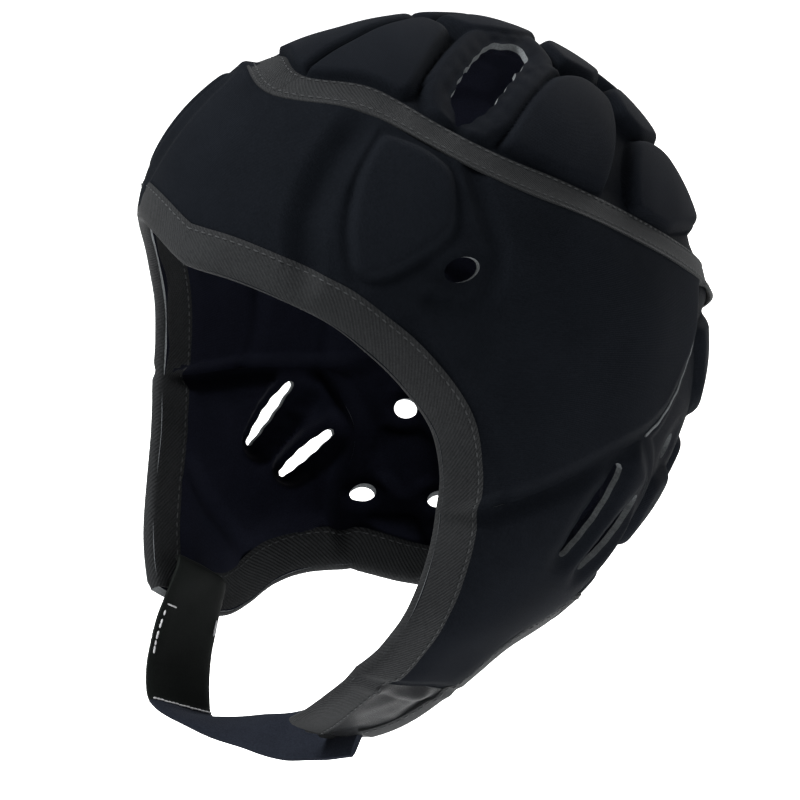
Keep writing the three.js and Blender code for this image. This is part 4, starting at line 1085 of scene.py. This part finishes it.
FACE_EDGE = chain(
    (TONGUE_EDGE[::-1], 41), (JAW_EDGE[::-1], 60), (BROW_EDGE[::-1], 130), (mirrored(BROW_EDGE), 130),
    (mirrored(STRAP_JAW_EDGE), 66),
)
HEM_EDGE = chain(
    (past_nape(STRAP_CHEEK_HEM[::-1]), 80), (past_nape(NAPE_HEM), 110), (NAPE_HEM[::-1], 110),
    (CHEEK_HEM, 62), (TAB_HEM, 56),
)


def stitch_parts(centres, alongs, ups, length=STITCH_LENGTH, radius=STITCH_RADIUS):
    """Short raised stitches: flattened spindles lying on the cloth."""
    across = unit(np.cross(ups, alongs))
    parts = []
    for centre, along, up, side in zip(centres, alongs, ups, across):
        points = [centre - along * length / 2]
        for where, size in STITCH_PROFILE:
            for angle in STITCH_TURNS:
                turn = math.pi * angle
                points.append(
                    centre + along * length * where + side * radius * size * math.cos(turn)
                    + up * radius * size * math.sin(turn)
                )
        points.append(centre + along * length / 2)
        faces = [[0, 1 + (k + 1) % 4, 1 + k] for k in range(4)]
        for base in (1, 5):
            faces += [[base + k, base + (k + 1) % 4, base + 4 + (k + 1) % 4, base + 4 + k] for k in range(4)]
        faces += [[13, 9 + k, 9 + (k + 1) % 4] for k in range(4)]
        parts.append((np.array(points), faces))
    return parts


def stitches_along(name, line, facing=1):
    """A row of stitches along a line of points, on the outer face for 1 or the inner for -1."""
    run = run_along(line)
    at = np.arange(STITCH_PITCH / 2, run[-1] - STITCH_PITCH / 2, STITCH_PITCH)
    centres, ahead = (
        np.stack([np.interp(at + step, run, line[:, k]) for k in range(3)], -1)
        for step in (0, STITCH_AHEAD)
    )
    alongs = unit(ahead - centres)
    ups = surface_normal(*angles_of(centres)) * facing
    ups = unit(ups - alongs * (ups * alongs).sum(-1, keepdims=True))
    piece = joined_small(name, stitch_parts(centres, alongs, ups), THREAD)


def build_bindings():
    for name, node_name, curve, stations in (
        ("face_binding_tape", "face_binding", FACE_EDGE, FACE_STATIONS),
        ("hem_binding_tape", "hem_binding", HEM_EDGE, HEM_STATIONS),
    ):
        rings = edge_rings(curve, np.linspace(0, 1, stations), binding_section(TAPE_WIDTH))
        wobble = ripple(rings, "binding")[..., None] * unit(rings - rings.mean((0, 1)))
        piece = sweep(name, rings + wobble, TAPE, wear_and_painted_shade=TAPE_RELIEF)
        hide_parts(node_name)
    inset, lift = TAPE_WIDTH - STITCH_INSET, TAPE_THICKNESS + STITCH_LIFT
    for name, curve, side, facing in (
        ("face_binding_stitches", FACE_EDGE, 0, 1), ("hem_binding_stitches", HEM_EDGE, 0, 1),
        ("hem_inside_stitches", HEM_EDGE, 1, -1), ("face_inside_stitches", FACE_EDGE, 1, -1),
    ):
        row = edge_rings(curve, np.linspace(0, 1, LINE_STATIONS), [(inset, side, -facing * lift)])
        stitches_along(name, row[:, 0], facing)


def tape_rings(section, azs):
    rings = []
    for up, deeper in section:
        el = seam_elevation(azs) + up / UP_MM
        depth = crown_ground(azs, el) if up > 0 else panel_depths(azs, el)[0]
        rings.append(place(azs, el, depth + deeper))
    return np.stack(rings, 1)


def build_crown_tape():
    half, t = TAPE_WIDTH / 2, TAPE_THICKNESS
    azs = np.linspace(0, FULL_TURN, TAPE_STATIONS, endpoint=False)
    section = [
        (-half, -t * 0.7), (-half + 0.7, -t), (-half * 0.4, -t * 1.1), (0, -t * 1.2), (half * 0.4, -t * 1.1),
        (half - 0.7, -t), (half, -t * 0.7), (half, 0.5), (0, 0.5), (-half, 0.5),
    ]
    piece = sweep("crown_seam_tape", tape_rings(section, azs), TAPE, closed=True, wear_and_painted_shade=TAPE_RELIEF)
    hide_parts("crown_tape")
    turns = np.linspace(0, 2 * math.pi, CORD_SIDES + 1)[:-1]
    cord = [
        (-half - CORD_OUT + CORD_RADIUS * math.cos(turn), -t * 0.5 + CORD_RADIUS * math.sin(turn))
        for turn in turns
    ]
    piping = sweep("crown_tape_piping", tape_rings(cord, azs), TAPE, closed=True,
                   wear_and_painted_shade=PIPING_RELIEF, sharp=PIPING_SHARP)
    for name, up in (
        ("crown_tape_upper_stitches", half - UPPER_INSET),
        ("crown_tape_lower_stitches", -half + LOWER_INSET),
    ):
        row = tape_rings([(up, -t - TAPE_STITCH_LIFT)], np.linspace(0, FULL_TURN, LINE_STATIONS))
        stitches_along(name, row[:, 0])


# Rims: the thin pale cut edges of laminated cloth
def build_rear_rims():
    shares = np.linspace(*RIM_SHARES, RIM_STATIONS)
    wave = sum(height * np.sin(shares * pace) for height, pace in RIM_WAVES)
    section = [(-0.55, -0.5), (0.0, -0.75), (0.55, -0.5), (0.5, 0.6), (-0.5, 0.6)]
    for name, points in (("side_rim_left", REAR_POINTS), ("side_rim_right", mirrored(REAR_POINTS)[::-1])):
        here, inward = edge_frame(edge_curve(points), shares)
        rings = []
        for inset, deeper in section:
            az, el = angles_of(here + inward * (inset + wave)[:, None])
            rings.append(place(az, el, panel_depths(az, el)[0] + deeper))
        piece = sweep(name, np.stack(rings, 1), RAW_EDGE, wear_and_painted_shade=EDGE_RELIEF)


# Strap
def build_strap():
    sizes = (BREADTH, LENGTH, CROWN_RISE)
    front, rear = (
        smooth_through(np.array(edge) * sizes, STRAP_STATIONS) for edge in (STRAP_FRONT, STRAP_REAR)
    )
    line = (front + rear) / 2
    along = unit(np.gradient(line, axis=0))
    wide = unit(front - rear)
    thick = unit(np.cross(wide, along))
    half, rise = STRAP_WIDTH / 2, STRAP_THICKNESS / 2
    shares = np.linspace(-1, 1, STRAP_ACROSS)
    body = [(share * half, rise * (1 - STRAP_THINNING * share ** STRAP_EDGE_POWER)) for share in shares]
    section = body + [(x, -y) for x, y in body[::-1]]
    rings = np.stack([line + wide * x + thick * y for x, y in section], 1)
    rings = rings + ripple(rings, "strap")[..., None] * thick[:, None]
    piece = sweep("chin_strap_band", rings, PILE, wear_and_painted_shade=EDGE_RELIEF)
    mesh = piece.data
    mesh.materials.append(SMOOTH_STRAP)
    # Smooth webbing as far as the fold, pile after it
    spans, sides = len(line) - 1, len(section)
    indexes = np.zeros(len(mesh.polygons), np.int32)
    upper = np.zeros((spans, sides), bool)
    upper[:int(FOLD * spans)] = True
    indexes[:spans * sides] = upper.ravel()
    mesh.polygons.foreach_set("material_index", indexes)
    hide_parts("chin_strap")
    # White lock stitches: across the top, down both edges of the sewn part, and along the fold
    stitches = []
    for start, end, across_from, across_to in LOCK_ROWS:
        across, along_strap = abs(across_to - across_from), abs(end - start)
        count = max(int(across * LOCKS_ACROSS), int(along_strap * LOCKS_ALONG), LEAST_LOCKS)
        for k in range(count):
            share = (k + 0.5) / count
            i = int(mix(start, end, share) * (len(line) - 1))
            spot = line[i] + wide[i] * half * mix(across_from, across_to, share)
            direction = along[i] if across_from == across_to else wide[i]
            for facing in (1, -1):
                centre = spot + thick[i] * facing * (rise + LOCK_LIFT)
                stitches += stitch_parts([centre], [direction], [thick[i] * facing], LOCK_LENGTH, LOCK_RADIUS)
    joined_small("strap_lock_stitches", stitches, WHITE_THREAD)


# Stage
def build_stage():
    size = FLOOR_SIZE
    mesh = bpy.data.meshes.new("floor")
    low = cad_bounds[0][2] - FLOOR_DROP
    corners = [(-size, -size, low), (size, -size, low), (size, size, low), (-size, size, low)]
    mesh.from_pydata(corners, [], [(0, 1, 2, 3)])
    material, _, _, shader = new_material("floor", FLOOR_COLOUR, FLOOR_ROUGHNESS)
    shader.inputs["Emission Color"].default_value = (1, 1, 1, 1)
    shader.inputs["Emission Strength"].default_value = FLOOR_GLOW
    mesh.materials.append(material)
    floor = bpy.data.objects.new("floor", mesh)
    bpy.context.scene.collection.objects.link(floor)
    world = bpy.data.worlds.new("studio")
    world.use_nodes = True
    world.node_tree.nodes["Background"].inputs["Color"].default_value = (1, 1, 1, 1)
    world.node_tree.nodes["Background"].inputs["Strength"].default_value = ROOM_LIGHT
    bpy.context.scene.world = world
    bpy.context.scene.view_settings.view_transform = "Standard"


def add_light(name, direction, distance, size, power):
    light = bpy.data.lights.new(name, "AREA")
    light.size = size
    light.energy = power
    obj = bpy.data.objects.new(name, light)
    obj.location = LIGHT_TARGET + Vector(direction).normalized() * distance
    obj.rotation_euler = (LIGHT_TARGET - obj.location).to_track_quat("-Z", "Y").to_euler()
    bpy.context.scene.collection.objects.link(obj)


def build_camera():
    a, e, r = (math.radians(v) for v in (VIEW_AZIMUTH, VIEW_ELEVATION, VIEW_ROLL))
    back = Vector((math.sin(a) * math.cos(e), -math.cos(a) * math.cos(e), math.sin(e)))
    flat_right = Vector((math.cos(a), math.sin(a), 0))
    flat_up = back.cross(flat_right)
    right = flat_right * math.cos(r) + flat_up * math.sin(r)
    up = flat_up * math.cos(r) - flat_right * math.sin(r)
    to_side = (CENTRE_PIXEL[0] - IMAGE_PIXELS / 2) / FOCAL_PIXELS * VIEW_DISTANCE
    to_top = (IMAGE_PIXELS / 2 - CENTRE_PIXEL[1]) / FOCAL_PIXELS * VIEW_DISTANCE
    eye = Vector((0, 0, -CENTRE_DEPTH)) + back * VIEW_DISTANCE - right * to_side - up * to_top
    camera = bpy.data.objects.new("camera", bpy.data.cameras.new("camera"))
    camera.data.sensor_width = SENSOR
    camera.data.lens = SENSOR * FOCAL_PIXELS / IMAGE_PIXELS
    camera.data.clip_end = FARTHEST
    matrix = Matrix((right, up, back)).transposed().to_4x4()
    matrix.translation = eye * MM
    camera.matrix_world = matrix
    bpy.context.scene.collection.objects.link(camera)
    bpy.context.scene.camera = camera
    return back, right, up


back, right, up = build_camera()
build_crown()
build_band()
build_nape()
build_flap("cheek_left_pad", "cheek_flap_left", JAW_EDGE, CHEEK_HEM, FLAP_END, 1)
build_flap("cheek_right_pad", "cheek_flap_right", STRAP_JAW_EDGE, STRAP_CHEEK_HEM, STRAP_FLAP_END, -1)
build_tab()
build_bindings()
build_crown_tape()
build_rear_rims()
build_strap()
build_stage()
for name, ((of_back, of_right, of_up), distance, size, power) in LIGHTS.items():
    add_light(name, back * of_back + right * of_right + up * of_up, distance, size, power)
